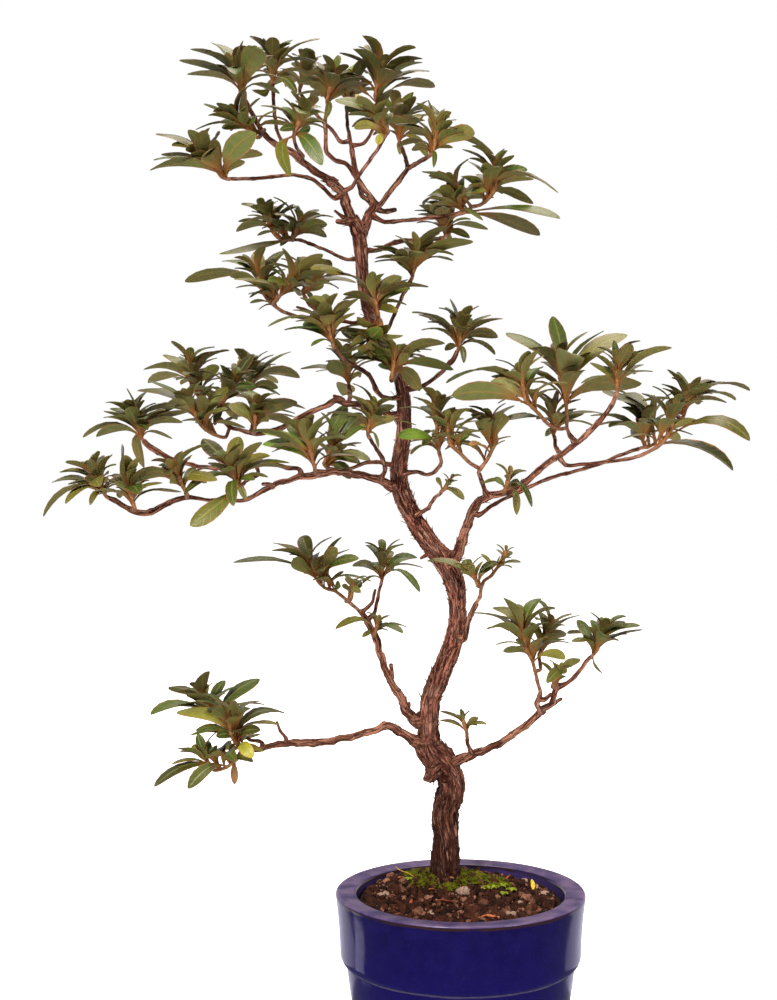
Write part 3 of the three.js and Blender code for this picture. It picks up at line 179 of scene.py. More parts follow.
# Leafy sprays: name, what carries it, depth of its base | route of the shoot, whose last two places
# are the base of the leaves and where they point | leaf tips as across,down,width. Two more numbers
# bend a leaf's stalk through a place of its own.
SPRAYS = """
crown_left crown_left 12 | 241,95 236,60 | 213,42,12 241,40,5 190,49,4 179,60,7 210,68,6 264,47,24
  226,52,8;
crown_peak crown_peak -18 | 272,78 272,55 | 252,37,3 262,38,4 273,37,14 292,39,7 290,47,3 320,40,3
  290,75,6 297,93,8 252,90,11,262,104;
crown_left_side crown_left 26 | 255,136 235,115 | 217,102,7 203,105,4 208,114,6 241,112,11 196,131,3
  222,128,8;
crown_low_left crown_low_left 34 | 222,177 200,150 | 189,129,12 215,140,12 157,134,8 161,155,6 153,157,4
  150,172,8 255,134,22,219,152 245,162,8;
crown_far_back crown_far_back -42 | 300,86 305,65 | 313,52,13 318,58,3 316,62,6 292,62,8;
crown_mid crown_mid -4 | 327,100 333,75 | 337,54,10 318,62,8 325,120,6 345,90,6 310,84,9;
crown_mid_back crown_mid_back -30 | 348,104 353,80 | 366,58,12 360,62,10 345,70,8 372,82,6;
crown_front_left crown_front_left 34 | 295,132 303,112 | 280,130,8 322,165,16,306,130 310,128,8
  290,177,15,267,146 282,108,9 325,112,7;
crown_right_peak crown_right_peak -16 | 375,95 380,70 | 367,45,9 368,42,5 384,60,8 413,58,8 422,60,5
  430,72,4 433,90,7,415,74 365,63,8 297,83,15,350,84;
crown_front crown_front 30 | 388,131 375,108 | 344,104,14 355,95,7 375,108,4 357,97,9 335,100,10
  355,128,9 378,145,8 392,112,7;
crown_right_back crown_right_back -10 | 398,137 397,105 | 378,92,7 400,97,10 413,92,9 428,101,3
  423,117,7 433,115,3 434,137,7 400,155,6 428,158,8;
crown_right_front crown_right_front 26 | 433,153 438,125 | 440,110,15 475,133,16 495,153,7 427,100,3
  453,148,4 433,168,5 412,150,8;
shoulder shoulder 14 | 466,212 471,207 455,185 | 438,171,4 422,172,4 460,185,6 430,199,3 490,187,13
  483,221,5 540,235,13,502,216 560,221,7,516,212;
shoulder_tip spray:shoulder 20 | 480,205 490,197 496,187 495,165 | 482,165,9 502,165,8 528,168,11
  560,190,4 534,180,6 533,205,9;
neck_right neck_right -20 | 448,234 452,229 450,210 | 427,212,5 414,211,3 451,207,10 445,227,6 470,238,7
  488,231,5 453,246,5;
neck_front neck_front 20 | 413,273 415,245 | 427,237,12 413,232,8 395,250,12 373,245,6 395,258,7
  375,260,3 447,227,10 473,243,12;
left_high left_high -30 | 300,240 290,240 280,239 272,231 265,212 | 242,204,7 258,205,6 272,205,13
  238,221,3 236,231,7 280,208,3 294,204,3 294,221,3 257,236,4;
left_high_side spray:left_high -18 | 293,238 300,222 | 285,228,9 300,222,6 309,222,6 326,225,11
  326,237,10 219,257,7,275,250 280,246,6;
left_mid left_mid 12 | 276,307 268,300 262,291 255,262 | 222,261,7 243,255,8 255,251,14 230,276,9
  185,284,9 285,250,10 250,304,6 259,310,3;
left_mid_side spray:left_mid 28 | 279,297 305,265 | 308,257,17 322,253,12 345,271,12,306,268 325,271,7;
left_mid_back left_mid_back -16 | 303,290 312,275 | 323,277,6 324,285,7 356,284,6 312,300,5;
left_low_front left_low_front 38 | 331,337 325,310 | 325,295,13 303,323,15 357,297,8 350,300,8 350,308,6
  300,297,6 268,326,3 284,331,3 311,346,4;
trunk_front trunk 26 | 378,313 372,285 | 372,272,11 395,275,8 402,277,13 410,289,8 428,289,8 325,275,3
  343,294,7 407,305,4 398,312,8;
trunk_front_low spray:trunk_front 30 | 380,328 372,340 | 340,330,12 357,317,7 370,350,9 403,335,4
  350,345,7 390,345,7;
trunk_waist trunk 30 | 392,374 396,350 | 445,343,12,408,344 453,372,9 420,391,15 388,336,8 353,358,5
  409,355,9 360,347,9 378,365,6 352,335,6;
right_neck right_neck_limb 18 | 460,345 461,312 | 449,299,3 445,308,6 471,305,9 491,315,4 452,319,6
  472,319,7 412,312,4 418,315,3 421,328,3 503,320,5 497,336,3 498,338,10 495,355,3 445,350,7 464,363,6;
left_round left_round -40 | 348,379 346,360 | 342,397,20,346,386 300,368,4 362,373,4 328,366,14
  345,345,12;
left_end left_main 42 | 104,491 92,470 | 51,481,6 71,472,3 75,461,5 90,459,10 70,489,3 65,503,5 42,516,3
  90,505,6 113,455,6 85,478,7;
left_end_front left_main 52 | 134,505 128,480 | 125,455,15 140,456,9 126,447,3 115,482,8 146,470,7;
left_shelf left_main 46 | 184,488 172,465 | 128,484,12,160,462 166,462,10 218,482,9 196,468,8
  170,480,10;
left_upper_end left_upper 0 | 141,435 134,410 | 127,388,3 106,401,7 103,413,3 133,402,10 175,408,6
  83,438,4 106,430,5 96,437,8 165,420,5 183,421,7 172,440,3 144,468,9 190,413,6;
left_pad_top left_pad_back -8 | 226,437 211,433 200,424 188,398 | 138,392,9 147,383,4 165,403,10
  228,388,12 175,395,7 145,412,6 205,395,13 182,388,12;
left_pad_far left_pad_back -40 | 212,411 204,402 191,384 190,362 | 163,355,8 143,369,8 189,353,9
  215,350,6 229,349,3 220,366,11 202,358,3 148,382,6 213,376,7;
left_pad_long spray:left_pad_far -26 | 225,400 235,378 | 222,377,6 234,384,3 205,390,8 253,353,10
  256,386,9 237,420,11 215,426,8;
left_pad_peak left_pad_peak -46 | 250,387 248,365 | 244,348,7 267,350,4 292,353,3 270,364,12 300,376,9
  278,388,9 280,396,3;
left_pad_mid left_pad_back -4 | 255,427 256,405 | 235,402,7 228,405,10 297,403,13 304,411,10 277,400,10
  300,430,7 270,420,8;
left_hanging left_hanging 42 | 237,486 222,450 | 203,440,16 240,437,16 262,442,9 190,526,18,223,506
  184,495,7 234,507,12 246,500,7 270,455,8 290,462,5 255,480,6;
left_inner left_main 26 | 314,465 306,435 | 304,417,14 320,418,10 262,443,12 262,432,9 250,432,6;
left_inner_back back_left -10 | 324,463 340,430 | 362,413,16 350,417,8 345,404,15 360,463,8 351,479,12
  371,460,9;
near_trunk near_trunk 34 | 368,427 372,412 | 395,418,8 358,428,7 345,440,6 378,448,3 390,408,5;
pink_twig pink_twig 16 | 439,452 437,430 435,395 | 437,390,11 413,397,4 459,410,9 464,419,3
  398,436,13,424,430 411,455,5 458,426,6;
right_inner right_inner 24 | 487,460 492,450 497,439 490,415 | 471,413,9 507,414,15 505,440,3 527,412,5
  470,446,6;
right_inner_side spray:right_inner 32 | 470,463 460,453 449,442 447,420 | 480,430,5 470,434,5 449,425,6;
right_bud right_bud_limb 4 | 552,428 555,405 | 547,397,9 558,389,6 506,422,5 573,411,6 584,414,4
  603,416,4 545,437,6;
right_upper right_upper 12 | 567,428 567,418 566,405 563,390 560,355 | 572,352,28 506,333,12 553,316,15
  605,332,4 627,332,16 642,384,14,584,384 533,372,4;
right_big_leaf spray:right_upper 42 | 560,429 548,424 540,415 530,405 525,399 520,370 |
  452,395,19,502,394 491,383,14 446,383,5 491,376,5 528,350,12 540,351,9;
right_end right_main 36 | 617,385 616,355 | 632,344,12 614,340,7 672,346,8 644,365,4 640,352,10
  600,350,3 590,362,5;
right_far_low right_low -8 | 648,447 655,443 650,410 | 602,393,9 625,393,4 625,397,3 609,425,4
  631,430,12 655,395,7 734,470,7,690,438;
right_far_end right_far 24 | 648,452 660,445 672,428 675,405 | 668,400,9 685,397,7 693,420,7 698,421,5
  680,440,11 749,442,11,716,410;
right_far_tip spray:right_far_end 10 | 684,415 692,390 | 678,372,8 662,383,5 700,376,8 711,380,9
  736,399,4 750,388,5 697,403,12;
right_elbow right_main 30 | 505,489 510,475 | 494,478,6 506,474,6 520,483,8 482,484,3 517,515,6
  532,507,4;
waist_twig waist_twig 20 | 445,489 450,480 | 436,478,5 450,483,6 464,500,7 458,494,3;
left_rise left_rise -24 | 350,603 343,597 335,591 325,588 317,580 305,548 | 233,565,4 273,542,6
  272,552,7 303,536,15 337,548,13 342,537,3 290,561,13 359,559,8 344,572,5 341,587,10;
left_rise_low spray:left_rise -10 | 346,601 352,595 353,587 | 345,578,4 361,582,9 360,592,7 342,585,5;
rise_twig rise_twig -36 | 383,573 383,560 | 352,565,8 382,552,10 418,556,9 362,583,3 421,591,5
  395,566,6;
rise_side left_rise -12 | 375,634 378,622 | 335,628,5 379,620,8 390,615,3 407,626,3 403,634,5 362,637,5;
right_low_front right_fork 34 | 538,684 536,675 532,660 526,649 520,615 | 505,597,10 540,597,12
  493,607,10 473,614,4 487,628,8 508,626,5 555,607,3 515,641,6 503,651,8 565,659,11,545,652;
right_low_back spray:right_low_front 14 | 540,670 539,655 545,642 550,625 | 566,634,9 543,617,8
  580,617,3 530,622,6 560,640,4;
right_low_end right_low_limb 28 | 598,649 603,632 | 577,620,10 603,618,8 625,622,10 640,624,6 643,630,3
  605,634,14 584,634,4 603,673,4,590,668;
right_low_bud right_low_limb 36 | 554,682 560,668 | 580,658,9 541,662,4 546,684,10 567,670,7;
right_shoulder right_shoulder 10 | 480,597 481,589 484,581 491,576 497,568 503,562 506,550 | 481,554,3
  512,552,7 521,562,4 500,556,4;
right_shoulder_low spray:right_shoulder 20 | 477,584 472,572 | 427,563,7 471,565,8 498,562,9 460,572,4;
foot_twig foot_twig 12 | 466,731 461,712 | 440,711,4 478,718,6 440,721,4 487,725,3 461,709,5;
left_low_upper left_low_upper 12 | 216,721 210,714 200,690 | 168,686,9 176,692,5 205,671,15 225,680,10
  200,700,12 260,679,12,225,700 190,704,3 150,714,8;
left_low_end left_low_limb 38 | 242,748 235,742 231,734 228,712 | 244,709,18 212,710,12 177,714,13
  195,729,8 286,712,8 260,730,10 265,722,3 215,737,9 253,757,13,240,742;
left_low_under spray:left_low_end 28 | 236,760 225,768 214,770 202,755 | 178,750,5 196,744,6 171,763,3
  197,734,10 230,751,6 188,789,13 154,787,10 253,762,3 234,785,6,233,768
"""


class Tint(Enum):
    """Colour of a leaf's upper side that stands out from the others, as an sRGB hex value."""

    YELLOW = "#8c8c24"
    YELLOW_OLIVE = "#77782c"
    BRIGHT = "#5f8228"
    FRESH = "#5a6d32"
    # Painted sheen: grey-olive that stands for the white surroundings' gloss on a leaf
    PALE = "#7c8150"
    OCHRE = "#9a6f2c"
    DRY = "#6f3420"


# Leaves that have turned, and ones painted pale for sheen, by their spray and the across place of their tip
TURNED_LEAVES: dict[tuple[str, int], Tint] = {
    ("crown_front", 355): Tint.YELLOW_OLIVE, ("crown_front", 378): Tint.YELLOW,
    ("trunk_front", 398): Tint.YELLOW, ("near_trunk", 358): Tint.YELLOW,
    ("left_low_end", 177): Tint.YELLOW_OLIVE, ("left_low_end", 253): Tint.YELLOW,
    ("right_low_front", 565): Tint.YELLOW, ("left_inner", 262): Tint.BRIGHT,
    ("left_inner_back", 350): Tint.BRIGHT, ("pink_twig", 398): Tint.BRIGHT,
    ("crown_mid_back", 360): Tint.BRIGHT, ("left_pad_top", 165): Tint.PALE,
    ("shoulder", 490): Tint.PALE, ("right_big_leaf", 491): Tint.PALE,
    ("right_end", 640): Tint.PALE, ("left_hanging", 246): Tint.PALE,
    ("left_inner_back", 371): Tint.PALE, ("right_inner", 470): Tint.OCHRE,
    ("left_low_under", 234): Tint.DRY, ("right_upper", 572): Tint.PALE,
    ("crown_left", 264): Tint.FRESH,
}


# ---- Small sums -----------------------------------------------------------------------------------
def unit(vector: np.ndarray) -> np.ndarray:
    """Vectors of length one that point the same way."""
    return vector / np.linalg.norm(vector, axis=-1, keepdims=True)


def lerp(start: float, end: float, share: float) -> float:
    """Value at a share of the way from start to end."""
    return start + (end - start) * share


def clamp(value: float, low: float, high: float) -> float:
    """Value kept between low and high."""
    return min(max(value, low), high)


def smooth_step(value: np.ndarray | float, low: float, high: float) -> np.ndarray | float:
    """0 below low, 1 above high, and a smooth rise between them."""
    share = np.clip((value - low) / (high - low), 0, 1)
    return share * share * (3 - 2 * share)


def numbers(text: str) -> Places:
    """Places of a route that is written as "across,down,more across,down,more"."""
    return [[float(value) for value in place.split(",")] for place in text.split()]


def entries(table: str) -> Iterator[tuple[str, str, float, list[Places]]]:
    """Entries of a table of routes.

    Args:
        table: Entries of "name carrier depth | route | further route", parted by semicolons.

    Returns:
        Name, carrier, depth and routes of one entry after the other.
    """
    for entry in table.split(";"):
        head, *routes = entry.split("|")
        name, carrier, depth = head.split()
        yield name, carrier, float(depth), [numbers(route) for route in routes]


def linear(hex_colour: str) -> tuple[float, float, float, float]:
    """Linear RGBA of an sRGB hex colour.

    Args:
        hex_colour: The colour, as "#rrggbb".

    Returns:
        Its red, green and blue, made linear, and an alpha of one.
    """
    channels = [int(hex_colour[i:i + 2], 16) / 255 for i in (1, 3, 5)]
    curved = [c / 12.92 if c <= 0.04045 else ((c + 0.055) / 1.055) ** 2.4 for c in channels]
    return (*curved, 1.0)


def turns(sides: int) -> np.ndarray:
    """Angles of that many even places round a circle."""
    return np.linspace(0, 2 * np.pi, sides, endpoint=False)


def blended(first: str | np.ndarray, second: str, share: float) -> np.ndarray:
    """Linear RGBA at a share of the way to an sRGB hex colour, from another or from linear RGBA."""
    start = np.array(linear(first)) if isinstance(first, str) else first
    return start * (1 - share) + np.array(linear(second)) * share


class Draws:
    """Seeded random numbers, the same in every run and in the frame's own layout."""

    def __init__(self, seed: int) -> None:
        """Start the row of numbers at a seed."""
        self.state = seed & 0xFFFFFFFF

    def next(self) -> float:
        """Next number from 0 to 1.

        Returns:
            The number.
        """
        self.state = (self.state + 0x6D2B79F5) & 0xFFFFFFFF
        state = self.state
        mixed = ((state ^ (state >> 15)) * (state | 1)) & 0xFFFFFFFF
        stirred = ((mixed ^ (mixed >> 7)) * (mixed | 61)) & 0xFFFFFFFF
        mixed = (mixed ^ ((mixed + stirred) & 0xFFFFFFFF)) & 0xFFFFFFFF
        return (mixed ^ (mixed >> 14)) / 4294967296

    def between(self, low: float, high: float) -> float:
        """Next number from low to high."""
        return lerp(low, high, self.next())


# ---- The sheet that the tree is drawn on ----------------------------------------------------------
@dataclass(frozen=True)
class Elevation:
    """The eye point, and the sheet that the front elevation falls on."""

    rim_height: float
    middle_across: float = 388.5
    middle_down: float = 500.0
    focal: float = 1700.0
    sheet_height: float = 1000.0
    pitch: float = math.radians(2.55)
    eye_across: float = -37.4
    eye_back: float = -874.0
    eye_rise: float = 242.7

    @property
    def eye(self) -> np.ndarray:
        """The eye point, mm."""
        return np.array([self.eye_across, self.eye_back, self.rim_height + self.eye_rise])

    @property
    def forward(self) -> np.ndarray:
        """The direction that the eye looks in."""
        return np.array([0.0, math.cos(self.pitch), -math.sin(self.pitch)])

    def at(self, across: float, down: float, depth: float) -> np.ndarray:
        """Point at a place on the sheet.

        Args:
            across: Place across the sheet, in its units.
            down: Place down the sheet.
            depth: How far toward the viewer the point lies from the pot's middle, mm.

        Returns:
            The point, mm.
        """
        rise = (self.middle_down - down) / self.focal
        ray = self.forward + rise * np.array([0.0, math.sin(self.pitch), math.cos(self.pitch)])
        ray[0] += (across - self.middle_across) / self.focal
        return self.eye + ray * ((-depth - self.eye[1]) / ray[1])

    def unit_at(self, point: np.ndarray) -> float:
        """Millimetres that one sheet unit spans at a point."""
        return float((point - self.eye) @ self.forward) / self.focal


@dataclass
class Line:
    """Middle line of a limb or shoot: its places on the sheet, its points and its radii."""

    sheet: Places
    points: np.ndarray
    radii: np.ndarray


@dataclass(frozen=True)
class Foothold:
    """Nearest place on a middle line, and the line's last run where it is the line's end."""

    sheet: list[float]
    point: np.ndarray
    radius: float
    ending: np.ndarray | None


def nearest(carrier: Line, across: float, down: float) -> Foothold:
    """Nearest place on a carrier's middle line to a place on the sheet.

    Args:
        carrier: Line that is searched.
        across: Place across the sheet.
        down: Place down the sheet.

    Returns:
        The nearest place on the line.
    """
    best: tuple[float, int, float] = (math.inf, 0, 0.0)
    for i, (a, b) in enumerate(zip(carrier.sheet, carrier.sheet[1:])):
        run = (b[0] - a[0], b[1] - a[1])
        share = ((across - a[0]) * run[0] + (down - a[1]) * run[1]) / (run[0] ** 2 + run[1] ** 2 or 1)
        f = clamp(share, 0, 1)
        distance = math.hypot(across - a[0] - f * run[0], down - a[1] - f * run[1])
        if distance < best[0]:
            best = (distance, i, f)
    _, i, f = best
    a, b = carrier.sheet[i], carrier.sheet[i + 1]
    start, end = carrier.points[i], carrier.points[i + 1]
    at_end = f == 1 and i + 2 == len(carrier.sheet)
    return Foothold(
        [a[0] + f * (b[0] - a[0]), a[1] + f * (b[1] - a[1])],
        start + (end - start) * f,
        lerp(carrier.radii[i], carrier.radii[i + 1], f),
        end - start if at_end else None,
    )


def thinned(route: Places) -> Places:
    """A route without the places that lie on a straight run.

    Args:
        route: Places with their thickness.

    Returns:
        The places that make it bend, and both its ends.
    """
    kept = [route[0]]
    for p, b in zip(route[1:], route[2:]):
        a = kept[-1]
        run = math.hypot(b[0] - a[0], b[1] - a[1])
        aside = abs((b[0] - a[0]) * (p[1] - a[1]) - (b[1] - a[1]) * (p[0] - a[0])) / run
        swell = abs(p[2] - (a[2] + b[2]) / 2)
        if aside > STRAIGHT["aside"] or swell > STRAIGHT["swell"] or run > STRAIGHT["longest"]:
            kept.append(p)
    return [*kept, route[-1]]


@dataclass
class Blade:
    """One leaf: its bent middle line, its width, and which way its sides lie."""

    node: str
    axis: np.ndarray
    base: np.ndarray
    pull: np.ndarray
    tip: np.ndarray
    width: float
    side: np.ndarray = field(default_factory=lambda: UP)
    tint: Tint | None = None
    bent: bool = False
    upright: float = 0.0

    def __post_init__(self) -> None:
        """Work out the leaf's length."""
        self.length = float(np.linalg.norm(self.tip - self.base))

    def middle(self, t: np.ndarray) -> np.ndarray:
        """Points of the middle line at shares t of its length.

        Args:
            t: The shares.

        Returns:
            The points, mm.
        """
        s = (1 - t)[:, None]
        t = t[:, None]
        return self.base * s * s + self.pull * 2 * s * t + self.tip * t * t

    def frame(self, t: np.ndarray) -> tuple[np.ndarray, np.ndarray, np.ndarray]:
        """Direction, side and upper face at shares t of the length.

        Args:
            t: The shares.

        Returns:
            The three directions, each by share.
        """
        t = t[:, None]
        forward = unit((self.pull - self.base) * (1 - t) + (self.tip - self.pull) * t)
        side = unit(self.side - forward * (forward @ self.side)[:, None])
        return forward, side, np.cross(forward, side)

    def half_width(self, t: np.ndarray, petiole: float) -> np.ndarray:
        """Half width at shares t: a stalk, then an ellipse that is widest past the middle.

        Args:
            t: The shares.
            petiole: Half width of the stalk at its foot, mm.

        Returns:
            The half widths, mm.
        """
        share = np.clip((t - 0.1) / 0.9, 0, 1)
        swell = np.maximum(np.sin(np.pi * share ** 1.2), 0) ** 0.8
        return np.maximum(petiole * (1 - t), self.width / 2 * swell)

    def survey(self) -> Blade:
        """Measure the leaf at even stations, for testing what it would cross.

        Returns:
            The leaf itself.
        """
        self.t = np.linspace(0, 1, STATIONS + 1)
        self.spine = self.middle(self.t)
        self.forward, self.sides, self.face = self.frame(self.t)
        self.half = self.half_width(self.t, LEAF["petiole"])
        reach = np.array([-1.0, 0.0, 1.0])[None, :, None] * self.half[:, None, None]
        self.points = (self.spine[:, None, :] + self.sides[:, None, :] * reach).reshape(-1, 3)
        self.points_t = np.repeat(self.t, 3)
        self.centre = self.middle(np.array([0.5]))[0]
        self.step = self.length / STATIONS
        return self


@dataclass
class Shoot:
    """Leafy shoot of a spray: its line, and where its leaves start and point."""

    name: str
    node: str
    order: int
    depth: float
    line: Line
    base: np.ndarray
    axis: np.ndarray
    stem: float
    tips: Places
    root: np.ndarray
    blades: list[Blade] = field(default_factory=list)

    def below(self, distance: float) -> np.ndarray:
        """Point on the shoot, a distance down from its leaves' base, but above its lowest third.

        Args:
            distance: The distance, mm.

        Returns:
            The point, mm.
        """
        points = self.line.points[:-1][::-1]
        runs = np.linalg.norm(np.diff(points, axis=0), axis=1)
        left = min(distance, float(runs.sum()) * 0.66)
        for start, end, run in zip(points, points[1:], runs):
            if left <= run:
                return start + (end - start) * (left / run)
            left -= run
        return points[0]


def crossing(points: Blade | list[Blade], blades: Blade | list[Blade], clearance: np.ndarray,
             start: np.ndarray) -> bool:
    """Whether points of some leaves come within a clearance of the blades of others.

    Args:
        points: The leaf, or the leaves, whose points are tested.
        blades: The leaves, or the leaf, whose blades they are tested against.
        clearance: Clearance of each pair, mm.
        start: Share of the length that each pair is tested from.

    Returns:
        True where any pair is too close.
    """
    one_to_many = isinstance(points, Blade)
    movers = [points] * len(blades) if one_to_many else points
    fixed = blades if one_to_many else [blades] * len(points)
    spot = np.stack([blade.points for blade in movers])[:, :, None, :]
    offset = spot - np.stack([blade.spine for blade in fixed])[:, None, :, :]
    step = np.array([blade.step for blade in fixed])[:, None, None]
    half = np.stack([blade.half for blade in fixed])[:, None, :]
    within = np.ones(offset.shape[:3], bool)
    parts = [np.stack([getattr(blade, name) for blade in fixed]) for name in ("forward", "sides", "face")]
    limits = (step * 0.6 + 0.3, half + 0.7, clearance[:, None, None])
    for direction, limit in zip(parts, limits):
        within &= np.abs(np.einsum("npsk,nsk->nps", offset, direction)) <= limit
    stations = fixed[0].t
    within &= movers[0].points_t[None, :, None] >= start[:, None, None]
    within &= stations[None, None, :] >= start[:, None, None]
    return bool(within.any())


@dataclass(frozen=True)
class Ring:
    """Ring of leaves that fills a shoot's whorl where the elevation shows none.

    `few` is how many grow on a sparse shoot, `size` is their length as a share of the shoot's usual
    leaf, `lift` how steeply they stand, `start` the share of the stem that they start at, `ease` the
    share of the usual clearance that they keep, `upright` how far they follow the shoot before they
    bend out, and `below` how far down the shoot they grow, mm.
    """

    count: int
    few: int
    size: float
    lift: float
    start: float
    ease: float
    upright: float = 0.0
    below: float = 0.0


BACK_LEAF = Ring(1, 1, 1.0, 0.45, 0.5, 1.0)
WHORL = (Ring(4, 2, 1.0, 1.2, 0.5, 0.08, 1.0), Ring(3, 2, 0.74, 2.4, 0.8, 0.05, 1.0),
         Ring(7, 1, 1.14, 0.9, 0.2, 0.35, 0.75, 3.5), Ring(8, 1, 1.16, 0.25, 0.0, 0.3, 0.5, 10.0))
OPEN_SPRAYS = ("right_", "left_low_u", "left_low_e", "left_rise", "rise_")
SPARSE_SHOOTS = {"waist_twig", "foot_twig", "rise_side", "right_low_bud", "left_rise_low",
                 "right_shoulder", "right_shoulder_low", "right_elbow"}
# Share of a ring's leaves that grow on a spray, and a shoot's shortest and longest usual leaf, mm
FULLNESS = {"full": 0.94, "open": 0.6}
USUAL_LENGTHS = {"full": (21, 29), "sparse": (9, 14)}


class TreePlan:
    """Where all wood, shoots and leaves lie, laid out by the frame's own rule."""

    def __init__(self, elevation: Elevation) -> None:
        """Lay out the whole tree on an elevation.

        Args:
            elevation: The sheet that the tree is drawn on.
        """
        self.sheet = elevation
        self.wood: dict[str, Line] = {}
        self.fine_wood: dict[str, Line] = {}
        self.parents: dict[str, tuple[str, float]] = {}
        self.shoots: dict[str, Shoot] = {}
        self.blades: list[Blade] = []
        self.blade_centres = np.zeros((MOST_LEAVES, 3))
        self.blade_lengths = np.zeros(MOST_LEAVES)
        self.capsules: list[tuple[np.ndarray, np.ndarray, float, str]] = []
        self._grow_wood()
        for order, (name, carrier, frontness, (route, tips)) in enumerate(entries(SPRAYS)):
            self._grow_shoot(order, name, carrier, frontness, route, tips)
        self.capsule_ends = [np.array([row[i] for row in self.capsules]) for i in (0, 1)]
        self.capsule_radii = np.array([row[2] for row in self.capsules])
        self.capsule_owners = np.array([row[3] for row in self.capsules])

    def _lay_out(self, route: Places, start: float, end: float) -> Line:
        """Line of a route whose depth goes evenly from one value to another.

        Args:
            route: Its places and thicknesses on the sheet.
            start: Depth of its first place, mm.
            end: Depth of its last place, mm.

        Returns:
            The line.
        """
        runs = [math.hypot(b[0] - a[0], b[1] - a[1]) for a, b in zip(route, route[1:])]
        lengths = np.concatenate([[0.0], np.cumsum(runs)])
        points = [self.sheet.at(place[0], place[1], lerp(start, end, length / lengths[-1]))
                  for place, length in zip(route, lengths)]
        radii = [place[2] * self.sheet.unit_at(point) / 2 for place, point in zip(route, points)]
        return Line([list(place) for place in route], np.array(points), np.array(radii))

    def _add_capsules(self, line: Line, owner: str) -> None:
        """Note the space that a line takes up."""
        for i in range(len(line.points) - 1):
            radius = max(line.radii[i], line.radii[i + 1])
            self.capsules.append((line.points[i], line.points[i + 1], radius, owner))

    def _grow_wood(self) -> None:
        """Lay out the trunk and every limb."""
        trunk = self._lay_out(numbers(TRUNK_ROUTE), TRUNK_DEPTH["foot"], TRUNK_DEPTH["fork"])
        foot, thickness = trunk.points[0], trunk.radii[0]
        below = [foot - UP * TRUNK_SET_DEPTH, foot - UP * TRUNK_SET_DEPTH / 3]
        trunk.points = np.vstack([below, trunk.points])
        trunk.radii = np.concatenate([[thickness * 0.7, thickness * 1.08], trunk.radii])
        trunk.sheet = [*TRUNK_ROOT, *trunk.sheet]
        self.foot = foot
        self.wood["trunk"] = self.fine_wood["trunk"] = trunk
        self._add_capsules(trunk, "wood")
        for name, parent, depth, (places,) in entries(LIMBS):
            root = nearest(self.wood[parent], places[0][0], places[0][1])
            thickest = root.radius * 1.9 / self.sheet.unit_at(root.point)
            whole = [[*root.sheet, min(places[0][2] * 1.15, thickest)], *places]
            ends = (-root.point[1], depth * DEPTH_SPREAD)
            self.wood[name] = self._lay_out(thinned(whole), *ends)
            self.fine_wood[name] = self._lay_out(whole, *ends)
            self.parents[name] = (parent, root.radius)
            self._add_capsules(self.wood[name], "wood")

    def _grow_shoot(self, order: int, name: str, carrier_name: str, frontness: float,
                    route: Places, tips: Places) -> None:
        """Lay out a spray's shoot, and on wood the short spur that it is butted to.

        Args:
            order: Its place in the table.
            name: Its name.
            carrier_name: The limb that carries it, or ON_SPRAY and the shoot that does.
            frontness: How far forward the base of its leaves lies.
            route: Its places on the sheet; the last is where its leaves point.
            tips: Places and widths of its leaf tips.
        """
        depth = frontness * DEPTH_SPREAD
        on_spray = carrier_name.startswith(ON_SPRAY)
        carrier = self.shoots[carrier_name.removeprefix(ON_SPRAY)] if on_spray else None
        *places, aim = route
        root = nearest(carrier.line if carrier else self.wood[carrier_name], *places[0][:2])
        sheet = [root.sheet, *places]
        laid = self._lay_out([[*place[:2], 4] for place in sheet], -root.point[1], depth)
        points = list(laid.points)
        base = points[-1]
        reach_of_aim = self.sheet.at(aim[0], aim[1], depth) - base
        axis = unit(reach_of_aim)
        if not on_spray and root.ending is not None:
            direction = unit(root.ending)
            points[:1] = [points[0] + direction * GAP, points[0] + direction * (GAP + SPUR["reach"])]
            sheet.insert(0, root.sheet)
        elif not on_spray:
            reach = root.radius + SPUR["reach"]
            while len(points) > 2 and np.linalg.norm(points[1] - points[0]) < reach + SPUR["room"]:
                del points[1], sheet[1]
            direction = unit(points[1] - points[0])
            self.capsules.append((points[0], points[0] + direction * reach, SPUR["radius"], "wood"))
            points[0] = points[0] + direction * (reach + GAP)
        length_of_aim = float(np.linalg.norm(reach_of_aim))
        stem = clamp(length_of_aim * STEM["share"], STEM["shortest"], STEM["longest"])
        points.append(base + axis * stem)
        shares = np.linspace(0, 1, len(points))
        radii = SHOOT_RADIUS["start"] + (SHOOT_RADIUS["base"] - SHOOT_RADIUS["start"]) * shares
        radii[-1] = SHOOT_RADIUS["end"]
        sheet.append(aim)
        node = carrier.node if carrier else name
        line = Line(sheet, np.array(points), radii)
        self.shoots[name] = Shoot(name, node, order, depth, line, base, axis, stem, tips, root.point)
        self._add_capsules(line, node)

    def _turn(self, blade: Blade, shown_width: float) -> None:
        """Turn a leaf about its length so that it shows the width that it should from the eye.

        Args:
            blade: The leaf.
            shown_width: The width that it shows, mm.
        """
        chord = unit(blade.tip - blade.base)
        flat = unit(np.cross(chord, unit(blade.tip - self.sheet.eye)))
        deep = np.cross(chord, flat)
        share = clamp(shown_width / blade.width, 0.12, 1)
        rise = blade.axis + UP * 0.6
        best = -math.inf
        for sign in (1, -1):
            for tilt in (1, -1):
                side = flat * share * sign + deep * tilt * math.sqrt(1 - share * share)
                facing = float(np.cross(chord, side) @ rise)
                if facing > best:
                    best = facing
                    blade.side = side

